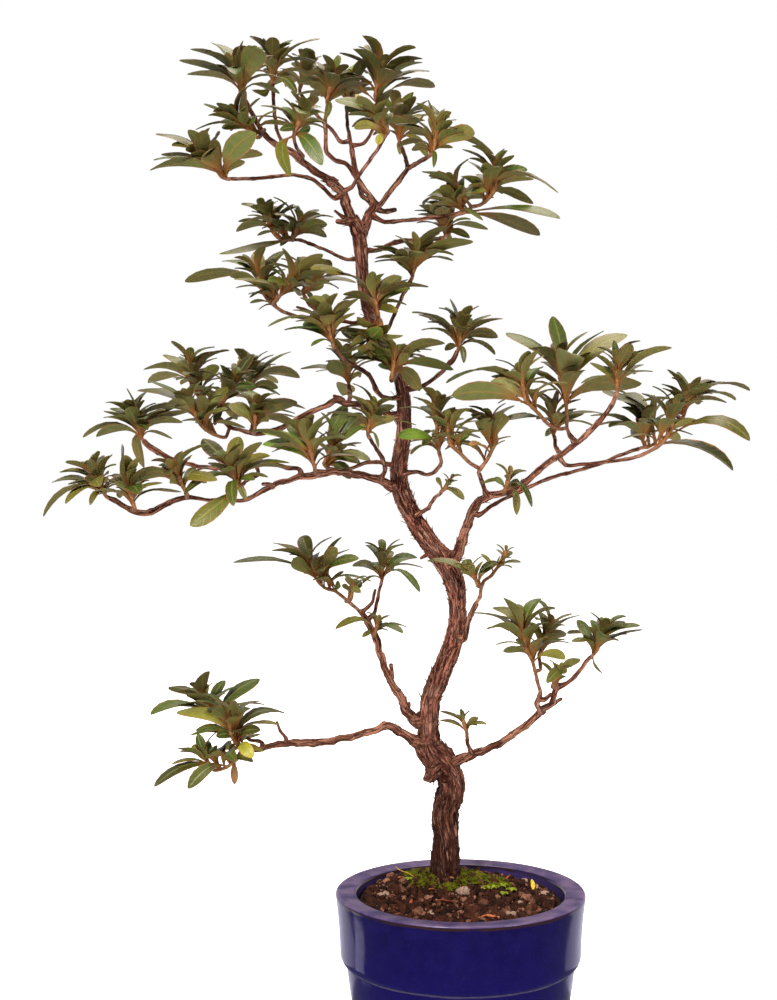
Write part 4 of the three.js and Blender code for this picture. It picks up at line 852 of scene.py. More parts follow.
    def is_clear(self, blade: Blade, ease: float = 1.0) -> bool:
        """Whether a leaf is clear of all wood, all other shoots and all leaves laid before it.

        Args:
            blade: The leaf, already surveyed.
            ease: Share of the usual clearance that is asked for.

        Returns:
            True where it is clear.
        """
        starts, ends = self.capsule_ends
        runs = ends - starts
        lengths = np.linalg.norm(runs, axis=1)
        near = np.linalg.norm(starts - blade.centre, axis=1) <= blade.length + lengths + self.capsule_radii
        near &= self.capsule_owners != blade.node
        if near.any():
            spots = blade.points[blade.points_t >= CLEAR["stem_from"]][:, None, :]
            run = runs[near]
            share = ((spots - starts[near]) * run).sum(-1) / (run * run).sum(-1)
            closest = starts[near] + run * np.clip(share, 0, 1)[..., None]
            away = np.linalg.norm(spots - closest, axis=-1)
            if (away < self.capsule_radii[near] + CLEAR["stem"] * ease).any():
                return False
        if not self.blades:
            return True
        centres = self.blade_centres[:len(self.blades)]
        lengths = self.blade_lengths[:len(self.blades)]
        close = np.linalg.norm(centres - blade.centre, axis=1) <= (blade.length + lengths) * 0.62
        others = [self.blades[i] for i in np.flatnonzero(close)]
        if not others:
            return True
        same = np.array([other.node == blade.node for other in others])
        clearance = np.where(same, CLEAR["same_node"], CLEAR["other_node"]) * ease
        start = np.where(same, CLEAR["same_node_from"], 0.0)
        return not (crossing(blade, others, clearance, start) or crossing(others, blade, clearance, start))

    def _keep(self, shoot: Shoot, blade: Blade | None) -> None:
        """Add a leaf to its shoot and to what later leaves stay clear of.

        Args:
            shoot: The shoot that it grows on.
            blade: The leaf, or None for no leaf.
        """
        if blade is None:
            return
        self.blade_centres[len(self.blades)] = blade.centre
        self.blade_lengths[len(self.blades)] = blade.length
        self.blades.append(blade)
        shoot.blades.append(blade)

    def _traced_leaf(self, shoot: Shoot, place: list[float], draws: Draws, must: bool) -> Blade | None:
        """Leaf that ends at a place on the sheet, moved in depth until it is clear.

        Args:
            shoot: The shoot that it grows on.
            place: Its tip's place and its width, and where its stalk bends if it does.
            draws: The shoot's random numbers.
            must: Whether the leaf is laid even where nothing is clear.

        Returns:
            The leaf, or None.
        """
        across, down, width = place[:3]
        flat_tip = self.sheet.at(across, down, shoot.depth)
        reach = flat_tip - shoot.base
        climb = clamp(0.55 + 0.45 * float(unit(reach) @ shoot.axis), 0.15, 1)
        base = shoot.base + shoot.axis * (shoot.stem * climb * 0.9)
        shown = float(np.linalg.norm(flat_tip - base))
        unit_size = self.sheet.unit_at(flat_tip)
        stretch = 1.02 + 0.2 * draws.next()
        length = min(max(shown, width * unit_size / 0.36) * stretch, max(LEAF["longest"], shown * 1.02))
        toward = 1 if draws.next() < 0.55 else -1
        slender = LEAF["slenderness"] * (0.9 + 0.2 * draws.next())
        offset = math.sqrt(max(length * length - shown * shown, 0))
        first = None
        for ease in (1.0, 0.3) if must else (1.0,):
            for share in DEPTH_TRIES:
                depth = shoot.depth + toward * share * max(offset, 4)
                tip = self.sheet.at(across, down, depth)
                real = float(np.linalg.norm(tip - base))
                pull = base + (tip - base) * 0.36 + shoot.axis * (real * 0.2)
                if len(place) > 3:
                    pull = self.sheet.at(place[3], place[4], lerp(shoot.depth, depth, 0.4))
                blade = Blade(shoot.node, shoot.axis, base, pull, tip,
                              max(real * slender, width * unit_size))
                blade.tint = TURNED_LEAVES.get((shoot.name, int(across)))
                blade.bent = len(place) > 3
                self._turn(blade, width * unit_size)
                if self.is_clear(blade.survey(), ease):
                    return blade
                first = first or blade
        return first if must else None

    def _fill_leaf(self, shoot: Shoot, usual: float, turned: float, draws: Draws,
                   ring: Ring) -> Blade | None:
        """Leaf that fills a spray where the elevation doesn't show it.

        Args:
            shoot: The shoot that it grows on.
            usual: Length of the shoot's usual leaf, mm.
            turned: Which way it points, in degrees round from the front.
            draws: Random numbers.
            ring: The ring that it belongs to.

        Returns:
            The leaf, or None where it would cross something.
        """
        length = usual * (0.7 + 0.38 * draws.next()) * ring.size
        spread = math.radians(turned + 50 * (draws.next() - 0.5))
        lift = ring.lift + 0.7 * draws.next() - 0.1
        for swing in SWINGS:
            angle = spread + swing
            outward = np.array([math.sin(angle), -math.cos(angle), 0.0])
            heading = unit(outward + shoot.axis * lift)
            base = shoot.base + shoot.axis * (shoot.stem * ring.start)
            if ring.below:
                base = shoot.below(ring.below * (0.6 + 0.8 * draws.next()))
            tip = base + heading * length
            bend = shoot.axis * (0.22 + 0.4 * ring.upright) + heading * (0.38 * (1 - ring.upright))
            blade = Blade(shoot.node, shoot.axis, base, base + bend * length, tip,
                          length * LEAF["slenderness"], upright=max(ring.upright, 0.01))
            face = unit(shoot.axis - heading * float(shoot.axis @ heading))
            blade.side = np.cross(face, heading)
            if self.is_clear(blade.survey(), ring.ease):
                return blade
        return None

    @staticmethod
    def _usual_length(shoot: Shoot) -> float:
        """Length of a shoot's middling leaf, mm."""
        lengths = sorted(blade.length for blade in shoot.blades)
        return lengths[len(lengths) // 2] if lengths else 20.0

    def grow_leaves(self) -> None:
        """Lay out the frame's leaves, then the finer ones that only the dressed tree has."""
        rows = list(self.shoots.values())
        draws = {shoot.name: Draws(SEEDS["frame"] + shoot.order) for shoot in rows}
        missed: list[tuple[Shoot, list[float]]] = []
        for shoot in rows:
            for place in shoot.tips:
                if place[2] <= HAIRLINE:
                    missed.append((shoot, place))
                    continue
                blade = self._traced_leaf(shoot, place, draws[shoot.name], False)
                self._keep(shoot, blade)
                if blade is None:
                    missed.append((shoot, place))
        for shoot in rows:
            usual = self._usual_length(shoot)
            self._keep(shoot, self._fill_leaf(shoot, usual, 180, draws[shoot.name], BACK_LEAF))
        LOG.info("leaves of the frame: %d, finer traced ones: %d", len(self.blades), len(missed))
        draws = {shoot.name: Draws(SEEDS["finer"] + shoot.order) for shoot in rows}
        for shoot, place in missed:
            self._keep(shoot, self._traced_leaf(shoot, place, draws[shoot.name], True))
        for ring in WHORL:
            for shoot in rows:
                sparse = shoot.name in SPARSE_SHOOTS
                usual = clamp(self._usual_length(shoot), *USUAL_LENGTHS["sparse" if sparse else "full"])
                fullness = FULLNESS["open" if shoot.name.startswith(OPEN_SPRAYS) else "full"]
                count = ring.few if sparse else round(ring.count * fullness)
                for i in range(count):
                    turned = 360 * (i + 0.4 * ring.lift) / count
                    self._keep(shoot, self._fill_leaf(shoot, usual, turned, draws[shoot.name], ring))
        LOG.info("leaves in all: %d", len(self.blades))


# ---- Nodes and meshes -----------------------------------------------------------------------------
def add_node(tree: NodeTree, kind: str, settings: dict[str, object] | None = None,
             inputs: dict[str | int, object] | None = None) -> Node:
    """Add a node to a tree, set it and link it.

    Args:
        tree: The tree that takes the node.
        kind: Blender's name of the node's type.
        settings: Values of the node's own properties.
        inputs: What each input takes, by its name or place: a value, a hex colour, or an output.

    Returns:
        The new node.
    """
    node = tree.nodes.new(kind)
    for name, value in (settings or {}).items():
        setattr(node, name, value)
    feed(tree, node, inputs or {})
    return node


def feed(tree: NodeTree, node: Node, inputs: dict[str | int, object]) -> None:
    """Give a node's inputs what they take.

    Args:
        tree: The node's tree.
        node: The node.
        inputs: What each input takes, by its name or place: a value, a hex colour, or an output.
    """
    for key, value in inputs.items():
        if isinstance(value, NodeSocket):
            tree.links.new(value, node.inputs[key])
        else:
            is_colour = isinstance(value, str) and value.startswith("#")
            node.inputs[key].default_value = linear(value) if is_colour else value


def per_mm(size: float) -> float:
    """Scale of a texture whose features are that many millimetres across."""
    return 1 / (size * MM)


def ring_faces(rings: int, sides: int, start_pole: bool = False, end_pole: bool = False) -> Faces:
    """Faces of a closed form of rings, which turn about the way that they follow each other.

    Args:
        rings: How many rings there are.
        sides: Points in each ring.
        start_pole: Whether a point after the rings closes the first ring, and not a flat face.
        end_pole: Whether a further point closes the last ring.

    Returns:
        The faces, which all point outwards.
    """
    faces: Faces = []
    for ring in range(rings - 1):
        low, high = ring * sides, (ring + 1) * sides
        for k in range(sides):
            after = (k + 1) % sides
            faces.append((low + k, low + after, high + after, high + k))
    last = (rings - 1) * sides
    pole = rings * sides
    if start_pole:
        faces += [((k + 1) % sides, k, pole) for k in range(sides)]
        pole += 1
    else:
        faces.append(tuple(reversed(range(sides))))
    if end_pole:
        faces += [(last + k, last + (k + 1) % sides, pole) for k in range(sides)]
    else:
        faces.append(tuple(range(last, last + sides)))
    return faces


class Mould:
    """Closed forms gathered into one piece's mesh, with their values point by point."""

    FIELDS = {1: ("FLOAT", "value"), 3: ("FLOAT_VECTOR", "vector"), 4: ("FLOAT_COLOR", "color")}

    def __init__(self) -> None:
        """Start with nothing in the mould."""
        self.points: list[np.ndarray] = []
        self.faces: Faces = []
        self.slots: list[int] = []
        self.values: dict[str, list[np.ndarray]] = {}
        self.count = 0

    def add(self, points: np.ndarray, faces: Faces, slots: int | list[int] = 0,
            **values: np.ndarray) -> None:
        """Add a closed form.

        Args:
            points: Its points, mm.
            faces: Its faces, by the order of its points.
            slots: Material slot of all its faces, or of each.
            values: Named values, one for each point: numbers, vectors, colours or "uv" pairs.
        """
        self.points.append(points)
        self.faces += [tuple(i + self.count for i in face) for face in faces]
        self.slots += [slots] * len(faces) if isinstance(slots, int) else slots
        for name, value in values.items():
            self.values.setdefault(name, []).append(np.asarray(value, float))
        self.count += len(points)

    def piece(self, name: str, finishes: Sequence[Finish], sharp: float | None = None) -> Object:
        """Object of all that the mould holds, in metres, with its finishes as materials.

        Args:
            name: Its name.
            finishes: The finish of each slot.
            sharp: Angle in degrees past which an edge is drawn sharp.

        Returns:
            The object, at the origin.
        """
        mesh = bpy.data.meshes.new(name)
        mesh.from_pydata((np.concatenate(self.points) * MM).tolist(), [], self.faces)
        mesh.shade_smooth()
        if sharp is not None:
            mesh.set_sharp_from_angle(angle=math.radians(sharp))
        for finish in finishes:
            mesh.materials.append(finish.material())
        mesh.polygons.foreach_set("material_index", self.slots)
        for key, parts in self.values.items():
            value = np.concatenate(parts)
            if key == "uv":
                corners = np.empty(len(mesh.loops), np.int32)
                mesh.loops.foreach_get("vertex_index", corners)
                mesh.uv_layers.new(name="UVMap").uv.foreach_set("vector", value[corners].ravel())
                continue
            kind, data = self.FIELDS[1 if value.ndim == 1 else value.shape[1]]
            mesh.attributes.new(key, kind, "POINT").data.foreach_set(data, value.ravel())
        return shown(bpy.data.objects.new(name, mesh))


def shown(thing: Object) -> Object:
    """Put an object in the scene."""
    bpy.context.scene.collection.objects.link(thing)
    return thing


def settled(thing: Object) -> None:
    """Turn an object's modifiers into a plain mesh.

    Args:
        thing: The object.
    """
    graph = bpy.context.evaluated_depsgraph_get()
    mesh = bpy.data.meshes.new_from_object(thing.evaluated_get(graph))
    thing.modifiers.clear()
    thing.data = mesh


def discard(things: Iterable[Object]) -> None:
    """Remove objects that only helped to make a piece."""
    for thing in things:
        bpy.data.objects.remove(thing, do_unlink=True)


def carried(thing: Object, slot: str, *nodes: str) -> Object:
    """Hand a finished piece to the frame.

    Args:
        thing: The piece.
        slot: The record's material slot; it is not used.
        nodes: The frame's nodes that it stands for.

    Returns:
        The piece.
    """
    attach(thing, "root")
    if nodes:
        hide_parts(*nodes)
    return thing


def resampled(points: np.ndarray, radii: np.ndarray, step: float) -> tuple[np.ndarray, ...]:
    """Smooth route through the points of a line.

    Args:
        points: The line's points, mm.
        radii: Its radii.
        step: Distance between the new points.

    Returns:
        The new points, their radii, and how far along the route each one lies.
    """
    lengths = np.concatenate([[0], np.cumsum(np.linalg.norm(np.diff(points, axis=0), axis=1))])
    kept = np.concatenate([[True], np.diff(lengths) > 1e-6])
    table, lengths = np.column_stack([points, radii])[kept], lengths[kept]
    slopes = 0.7 * np.gradient(table, lengths, axis=0) if len(lengths) > 2 else np.zeros_like(table)
    if len(lengths) == 2:
        slopes[:] = (table[1] - table[0]) / lengths[1]
    places = np.linspace(0, lengths[-1], max(int(lengths[-1] / step), 2) + 1)
    i = np.clip(np.searchsorted(lengths, places, "right") - 1, 0, len(lengths) - 2)
    gap = (lengths[i + 1] - lengths[i])[:, None]
    t = ((places - lengths[i]) / gap[:, 0])[:, None]
    table_at = (table[i] * (2 * t ** 3 - 3 * t ** 2 + 1) + slopes[i] * gap * (t ** 3 - 2 * t ** 2 + t)
                + table[i + 1] * (3 * t ** 2 - 2 * t ** 3) + slopes[i + 1] * gap * (t ** 3 - t ** 2))
    return table_at[:, :3], np.maximum(table_at[:, 3], 0.2), places


def rounded_end(points: np.ndarray, radii: np.ndarray, along: np.ndarray) -> tuple[np.ndarray, ...]:
    """Route with a small dome added to its end; its last point is the dome's top and has no radius.

    Args:
        points: The route's points, mm.
        radii: Its radii.
        along: How far along it each point lies.

    Returns:
        The longer points, radii and distances.
    """
    direction, radius = unit(points[-1] - points[-2]), radii[-1]
    rises, shares = np.array([0.4, 0.68, 0.8]), np.array([0.88, 0.55])
    return (np.vstack([points, points[-1] + direction * radius * rises[:, None]]),
            np.append(radii, radius * shares), np.append(along, along[-1] + radius * rises[:2]))


def rings_round(points: np.ndarray, sides: int) -> tuple[np.ndarray, ...]:
    """Directions of a route, the angles round it, and the outward direction at every angle.

    Args:
        points: The route's points, mm.
        sides: How many angles there are.

    Returns:
        The directions by point, the angles, and the outward directions by point and angle.
    """
    forward, angles = unit(np.gradient(points, axis=0)), turns(sides)
    across = np.empty_like(points)
    held = np.array([1.0, 0.0, 0.0])
    for i, direction in enumerate(forward):
        held = unit(held - direction * (held @ direction))
        across[i] = held
    out = np.cross(forward, across)
    turned = across[:, None] * np.cos(angles)[:, None] + out[:, None] * np.sin(angles)[:, None]
    return forward, angles, turned


def level_ring(radius: np.ndarray | float, angles: np.ndarray, height: np.ndarray | float) -> np.ndarray:
    """Points of a level ring round the pot's middle, mm."""
    heights = np.broadcast_to(height, angles.shape)
    return np.column_stack([radius * np.cos(angles), radius * np.sin(angles), heights])


def moulded(name: str, finishes: Sequence[Finish], points: np.ndarray, faces: Faces,
            sharp: float | None = None, **values: np.ndarray) -> Object:
    """Piece of a single closed form.

    Args:
        name: Its name.
        finishes: The finish of each slot.
        points: Its points, mm.
        faces: Its faces.
        sharp: Angle in degrees past which an edge is drawn sharp.
        values: Its named values, one for each point.

    Returns:
        Its object, at the origin.
    """
    mould = Mould()
    mould.add(points, faces, **values)
    return mould.piece(name, finishes, sharp)


# ---- Finishes -------------------------------------------------------------------------------------
class Step(Enum):
    """Steps of painting: a node's type, its settings, its inputs in order, and its output."""

    VALUE = ("ShaderNodeAttribute", {}, (), "Fac")
    COLOUR = ("ShaderNodeAttribute", {}, (), "Color")
    VECTOR = ("ShaderNodeAttribute", {}, (), "Vector")
    HEIGHT = ("ShaderNodeSeparateXYZ", {}, ("Vector",), "Z")
    STRETCH = ("ShaderNodeVectorMath", {"operation": "MULTIPLY"}, (0, 1), 0)
    LENGTH = ("ShaderNodeVectorMath", {"operation": "LENGTH"}, (0,), "Value")
    GRAINS = ("ShaderNodeTexNoise", {}, ("Scale", "Detail", "Vector"), "Fac")
    SWIRL = ("ShaderNodeTexNoise", {}, ("Scale", "Detail", "Vector"), "Color")
    PORES = ("ShaderNodeTexVoronoi", {}, ("Scale", "Vector"), "Distance")
    PLATES = ("ShaderNodeTexVoronoi", {}, ("Scale", "Vector"), "Color")
    CRACKS = ("ShaderNodeTexVoronoi", {"feature": "DISTANCE_TO_EDGE"}, ("Scale", "Vector"), "Distance")
    SHARE = ("ShaderNodeMapRange", {}, ("Value", "From Min", "From Max", "To Max"), "Result")
    MIX = ("ShaderNodeMix", {"data_type": "RGBA"}, (0, 6, 7), 2)
    ADD = ("ShaderNodeMath", {"operation": "ADD"}, (0, 1), 0)
    SUBTRACT = ("ShaderNodeMath", {"operation": "SUBTRACT"}, (0, 1), 0)
    MULTIPLY = ("ShaderNodeMath", {"operation": "MULTIPLY"}, (0, 1), 0)
    MULTIPLY_ADD = ("ShaderNodeMath", {"operation": "MULTIPLY_ADD"}, (0, 1, 2), 0)
    MAXIMUM = ("ShaderNodeMath", {"operation": "MAXIMUM"}, (0, 1), 0)
    ABSOLUTE = ("ShaderNodeMath", {"operation": "ABSOLUTE"}, (0,), 0)
    SINE = ("ShaderNodeMath", {"operation": "SINE"}, (0,), 0)
    RELIEF = ("ShaderNodeBump", {}, ("Height", "Distance"), "Normal")


@dataclass(frozen=True)
class Coat:
    """A finish while it is painted: its tree, the shader that takes it, and the place on the piece."""

    tree: NodeTree
    shader: Node
    place: NodeSocket

    def add(self, step: Step, *values: object, **settings: object) -> NodeSocket:
        # Furrow depth, painted dark on the bark: partly dark inner bark, partly painted shade
        """Add a step of painting. One that is given no vector reads the place on the piece.

        Args:
            step: The step.
            values: What its inputs take, in the step's order: values, hex colours or outputs.
            settings: Settings of its node beyond the step's own.

        Returns:
            Its output.
        """
        kind, fixed, inputs, output = step.value
        taken = dict(zip(inputs, values))
        if "Vector" in inputs:
            taken.setdefault("Vector", self.place)
        return add_node(self.tree, kind, fixed | settings, taken).outputs[output]

    def feed(self, inputs: dict[str, object]) -> None:
        """Give the shader's own inputs their values, or link them."""
        feed(self.tree, self.shader, inputs)


@dataclass(frozen=True)
class Finish:
    """A real material and how its surface was made. Each kind paints its own coat."""

    title: str
    roughness: float
    ior: float = 1.5

    def material(self) -> Material:
        """The finish as a material, made once.

        Returns:
            The material.
        """
        made = bpy.data.materials.get(self.title)
        if made:
            return made
        made = bpy.data.materials.new(self.title)
        made.use_nodes = True
        tree = made.node_tree
        tree.nodes.clear()
        shader = add_node(tree, "ShaderNodeBsdfPrincipled", inputs={
            "Roughness": self.roughness, "IOR": self.ior,
            "Specular IOR Level": 0.4 if self.roughness < 0.6 else 0.12})
        add_node(tree, "ShaderNodeOutputMaterial", inputs={"Surface": shader.outputs[0]})
        self.paint(Coat(tree, shader, add_node(tree, "ShaderNodeTexCoord").outputs["Object"]))
        return made

    def paint(self, coat: Coat) -> None:
        """Paint this finish's colours and relief, as each kind of finish does in its own way."""
        raise NotImplementedError


@dataclass(frozen=True)
class CobaltGlaze(Finish):
    """Fired cobalt glaze on stoneware: deep blue that pools dark and breaks brown on the edges."""

    rim_height: float = 92.7
    groove_height: float = 56.8
    mouth_radius: float = 53.5

    def _line(self, coat: Coat, height: NodeSocket, level: float, width: float) -> NodeSocket:
        """Thin uneven line round the pot.

        Args:
            coat: The coat that it is painted in.
            height: Height on the pot.
            level: Height of the line, mm.
            width: How far it reaches up and down, mm.

        Returns:
            A share that is 1 on the line.
        """
        wander = coat.add(Step.MULTIPLY_ADD, coat.add(Step.GRAINS, per_mm(14), 3), 1.2 * MM, -0.6 * MM)
        away = coat.add(Step.SUBTRACT, coat.add(Step.ADD, height, wander), level * MM)
        return coat.add(Step.SHARE, coat.add(Step.ABSOLUTE, away), width * MM, 0.25 * width * MM)

    def paint(self, coat: Coat) -> None:
        """Mottled cobalt, a flat lip of milk-pale glaze with painted sheen, and thin brown and grey lines
        where the glaze breaks.

        Args:
            coat: The coat to paint.
        """
        height = coat.add(Step.HEIGHT)
        radius = coat.add(Step.LENGTH, coat.add(Step.STRETCH, coat.place, (1.0, 1.0, 0.0)))
        cloud = coat.add(Step.SHARE, coat.add(Step.GRAINS, per_mm(9), 3), 0.35, 0.65)
        colour = coat.add(Step.MIX, cloud, "#04022c", "#090638")
        pool = coat.add(Step.SHARE, height, self.rim_height * MM, (self.groove_height + 2) * MM, 0.75)
        colour = coat.add(Step.MIX, pool, colour, "#08043c")
        speck = coat.add(Step.SHARE, coat.add(Step.GRAINS, per_mm(0.9), 1), 0.6, 0.72, 0.35)
        colour = coat.add(Step.MIX, speck, colour, "#171156")
        inside = coat.add(Step.SHARE, radius, (self.mouth_radius + 0.6) * MM, self.mouth_radius * MM)
        upper = coat.add(Step.SHARE, height, self.groove_height * MM, (self.groove_height + 4) * MM)
        colour = coat.add(Step.MIX, coat.add(Step.MULTIPLY, inside, upper), colour, "#2f2854")
        broken = coat.add(Step.SHARE, coat.add(Step.GRAINS, per_mm(22), 3), 0.3, 0.5)
        brown = coat.add(Step.MULTIPLY, self._line(coat, height, self.rim_height - 1.6, 1.1), broken)
        colour = coat.add(Step.MIX, brown, colour, "#20120f")
        # Lip painted pale: partly milk-pale glaze, partly painted sheen of the white surroundings
        milk_and_sheen = coat.add(Step.SHARE, height, (self.rim_height - 1.1) * MM, (self.rim_height - 0.4) * MM)
        colour = coat.add(Step.MIX, milk_and_sheen, colour, coat.add(Step.MIX, cloud, "#352b56", "#5f5070"))
        grey = self._line(coat, height, self.groove_height - 0.4, 1.0)
        colour = coat.add(Step.MIX, grey, colour, "#35344a")
        gloss = coat.add(Step.SHARE, coat.add(Step.GRAINS, per_mm(5), 3), 0.3, 0.7)
        rough = coat.add(Step.MULTIPLY_ADD, gloss, 0.08, self.roughness)
        rough = coat.add(Step.MULTIPLY_ADD, milk_and_sheen, 0.22, rough)
        coat.feed({"Base Color": colour, "Roughness": rough, "Specular IOR Level": 0.24})
        coat.feed({"Normal": coat.add(Step.RELIEF, coat.add(Step.GRAINS, per_mm(16), 0), 0.14 * MM)})


@dataclass(frozen=True)
class MouldedMesh(Finish):
    """Moulded polyethylene mesh: dull black plastic with a fine mould grain."""

    def paint(self, coat: Coat) -> None:
        """Near-black with a little dust on it.

        Args:
            coat: The coat to paint.
        """
        dust = coat.add(Step.GRAINS, per_mm(4), 3)
        coat.feed({"Base Color": coat.add(Step.MIX, dust, "#151515", "#2e2c29")})
        coat.feed({"Normal": coat.add(Step.RELIEF, coat.add(Step.GRAINS, per_mm(0.4), 3), 0.03 * MM)})


@dataclass(frozen=True)
class DampSoil(Finish):
    """Damp bonsai soil: crumbs of baked clay and bark that are dark, matt and uneven."""

    dark: str = "#0e0603"
    middle: str = "#412317"
    light: str = "#8c6451"

    def paint(self, coat: Coat) -> None:
        """Each crumb takes its own brown, a few are pale, and all are pitted.

        Args:
            coat: The coat to paint.
        """
        tone = coat.add(Step.VALUE, attribute_name="tone")
        colour = coat.add(Step.MIX, coat.add(Step.SHARE, tone, 0, 0.75), self.dark, self.middle)
        colour = coat.add(Step.MIX, coat.add(Step.SHARE, tone, 0.78, 1.0), colour, self.light)
        pits = coat.add(Step.GRAINS, per_mm(0.9), 3)
        colour = coat.add(Step.MIX, coat.add(Step.SHARE, pits, 0.42, 0.62, 0.6), colour, self.dark)
        coat.feed({"Base Color": colour})
        coat.feed({"Normal": coat.add(Step.RELIEF, pits, 0.35 * MM)})


@dataclass(frozen=True)
class Pumice(Finish):
    """Pumice stone: grey and rough, with open pores painted dark as shade in them."""

    def paint(self, coat: Coat) -> None:
        """Grey-brown with pores.

        Args:
            coat: The coat to paint.
        """
        pores = coat.add(Step.PORES, per_mm(1.1))
        cloud = coat.add(Step.MIX, coat.add(Step.GRAINS, per_mm(2.4), 3), "#5c463b", "#ab9585")
        # Painted shade: the pores' hollows are painted dark
        deep = coat.add(Step.SHARE, pores, 0.34, 0.1)
        coat.feed({"Base Color": coat.add(Step.MIX, deep, cloud, "#2c211b")})
        coat.feed({"Normal": coat.add(Step.RELIEF, pores, 0.4 * MM)})


@dataclass(frozen=True)
class CushionMoss(Finish):
    """Living cushion moss: soft yellow-green tips over dark olive, with no gloss."""

    dark: str = "#0a0d01"
    light: str = "#62690c"

    def paint(self, coat: Coat) -> None:
        """Each tuft takes its own green.

        Args:
            coat: The coat to paint.
        """
        tone = coat.add(Step.VALUE, attribute_name="tone")
        patch = coat.add(Step.MULTIPLY_ADD, coat.add(Step.GRAINS, per_mm(5), 3), 0.7, -0.2)
        colour = coat.add(Step.MIX, coat.add(Step.ADD, tone, patch), self.dark, self.light)
        coat.feed({"Base Color": colour})
        coat.feed({"Normal": coat.add(Step.RELIEF, coat.add(Step.GRAINS, per_mm(0.7), 3), 0.25 * MM)})


@dataclass(frozen=True)
class FibrousBark(Finish):
    """Old azalea bark: red-brown plates in long strips, greyed by weather, and dark in the cracks, partly as
    painted shade.
    """

    dark_foot_height: float = 100.0
    plate: float = 2.1
    fibre: float = 0.7

    def paint(self, coat: Coat) -> None:
        """Plates and fibres run along the limb, cracks are dark (partly painted shade), and the foot is
        darker.

        Args:
            coat: The coat to paint.
        """
        grain = coat.add(Step.VECTOR, attribute_name="grain")
        long_way = coat.add(Step.STRETCH, grain, (1.0, 1.0, 0.17))
        swirl = coat.add(Step.SWIRL, per_mm(2.8), 4, long_way)
        torn = add_node(coat.tree, "ShaderNodeVectorMath", {"operation": "MULTIPLY_ADD"}, {
            0: swirl, 1: (3.2 * MM,) * 3, 2: long_way}).outputs[0]
        tone = coat.add(Step.SHARE, coat.add(Step.PLATES, per_mm(self.plate), torn), 0.25, 0.75)
        edge = coat.add(Step.CRACKS, per_mm(self.plate), torn)
        strips = coat.add(Step.STRETCH, grain, (1.0, 1.0, 0.08))
        fibres = coat.add(Step.GRAINS, per_mm(self.fibre), 5, strips)
        old = coat.add(Step.MIX, tone, "#36150b", "#895445")
        grey = coat.add(Step.SHARE, coat.add(Step.GRAINS, per_mm(9), 3), 0.5, 0.68, 0.5)
        old = coat.add(Step.MIX, grey, old, "#a07a6b")
        young = coat.add(Step.MIX, tone, "#5a3122", "#936753")
        colour = coat.add(Step.MIX, coat.add(Step.VALUE, attribute_name="age"), young, old)
        colour = coat.add(Step.MIX, coat.add(Step.SHARE, fibres, 0.55, 0.38, 0.8), colour, "#2b130b")
        # Cracks painted near black: partly dark inner bark, partly painted shade in the furrows
        deep = coat.add(Step.SHARE, coat.add(Step.VALUE, attribute_name="crack"), 0.3, 0.7, 0.95)
        crack = coat.add(Step.MAXIMUM, coat.add(Step.SHARE, edge, 0.1, 0.01, 0.8), deep)
        colour = coat.add(Step.MIX, crack, colour, "#120502")
        height = coat.add(Step.HEIGHT)
        # The bark is painted darker toward the trunk's foot, down to just below the soil
        dry, darkest_level = (self.dark_foot_height + 95) * MM, (self.dark_foot_height - 6) * MM
        colour = coat.add(Step.MIX, coat.add(Step.SHARE, height, dry, darkest_level, 0.93), colour, "#1f0904")
        # Pale fibres: partly weathered strands, partly painted highlights where shiny fibres catch light
        worn_and_glint = coat.add(Step.SHARE, coat.add(Step.GRAINS, per_mm(0.8), 2, strips), 0.58, 0.66, 0.6)
        coat.feed({"Base Color": coat.add(Step.MIX, worn_and_glint, colour, "#a07a69")})
        rise = coat.add(Step.MULTIPLY_ADD, fibres, 0.5, coat.add(Step.SHARE, edge, 0.0, 0.22))
        coat.feed({"Normal": coat.add(Step.RELIEF, rise, 0.8 * MM)})


@dataclass(frozen=True)
class LooseBark(Finish):
    """Loose strips of bark: the same fibres, darker toward the trunk's foot."""

    dark_start_height: float = 205.0
    dark_foot_height: float = 108.0

    def paint(self, coat: Coat) -> None:
        """Each strip takes its own brown, and the strips are darker toward the trunk's foot.

        Args:
            coat: The coat to paint.
        """
        colour = coat.add(Step.MIX, coat.add(Step.VALUE, attribute_name="tone"), "#3c2018", "#84594a")
        fibres = coat.add(Step.SHARE, coat.add(Step.GRAINS, per_mm(0.8), 3), 0.45, 0.65, 0.5)
        colour = coat.add(Step.MIX, fibres, colour, "#2c1811")
        height = coat.add(Step.HEIGHT)
        # The strips are painted darker toward the trunk's foot
        damp = coat.add(Step.SHARE, height, self.dark_start_height * MM, self.dark_foot_height * MM, 0.85)
        coat.feed({"Base Color": coat.add(Step.MIX, damp, colour, "#1d0c07")})


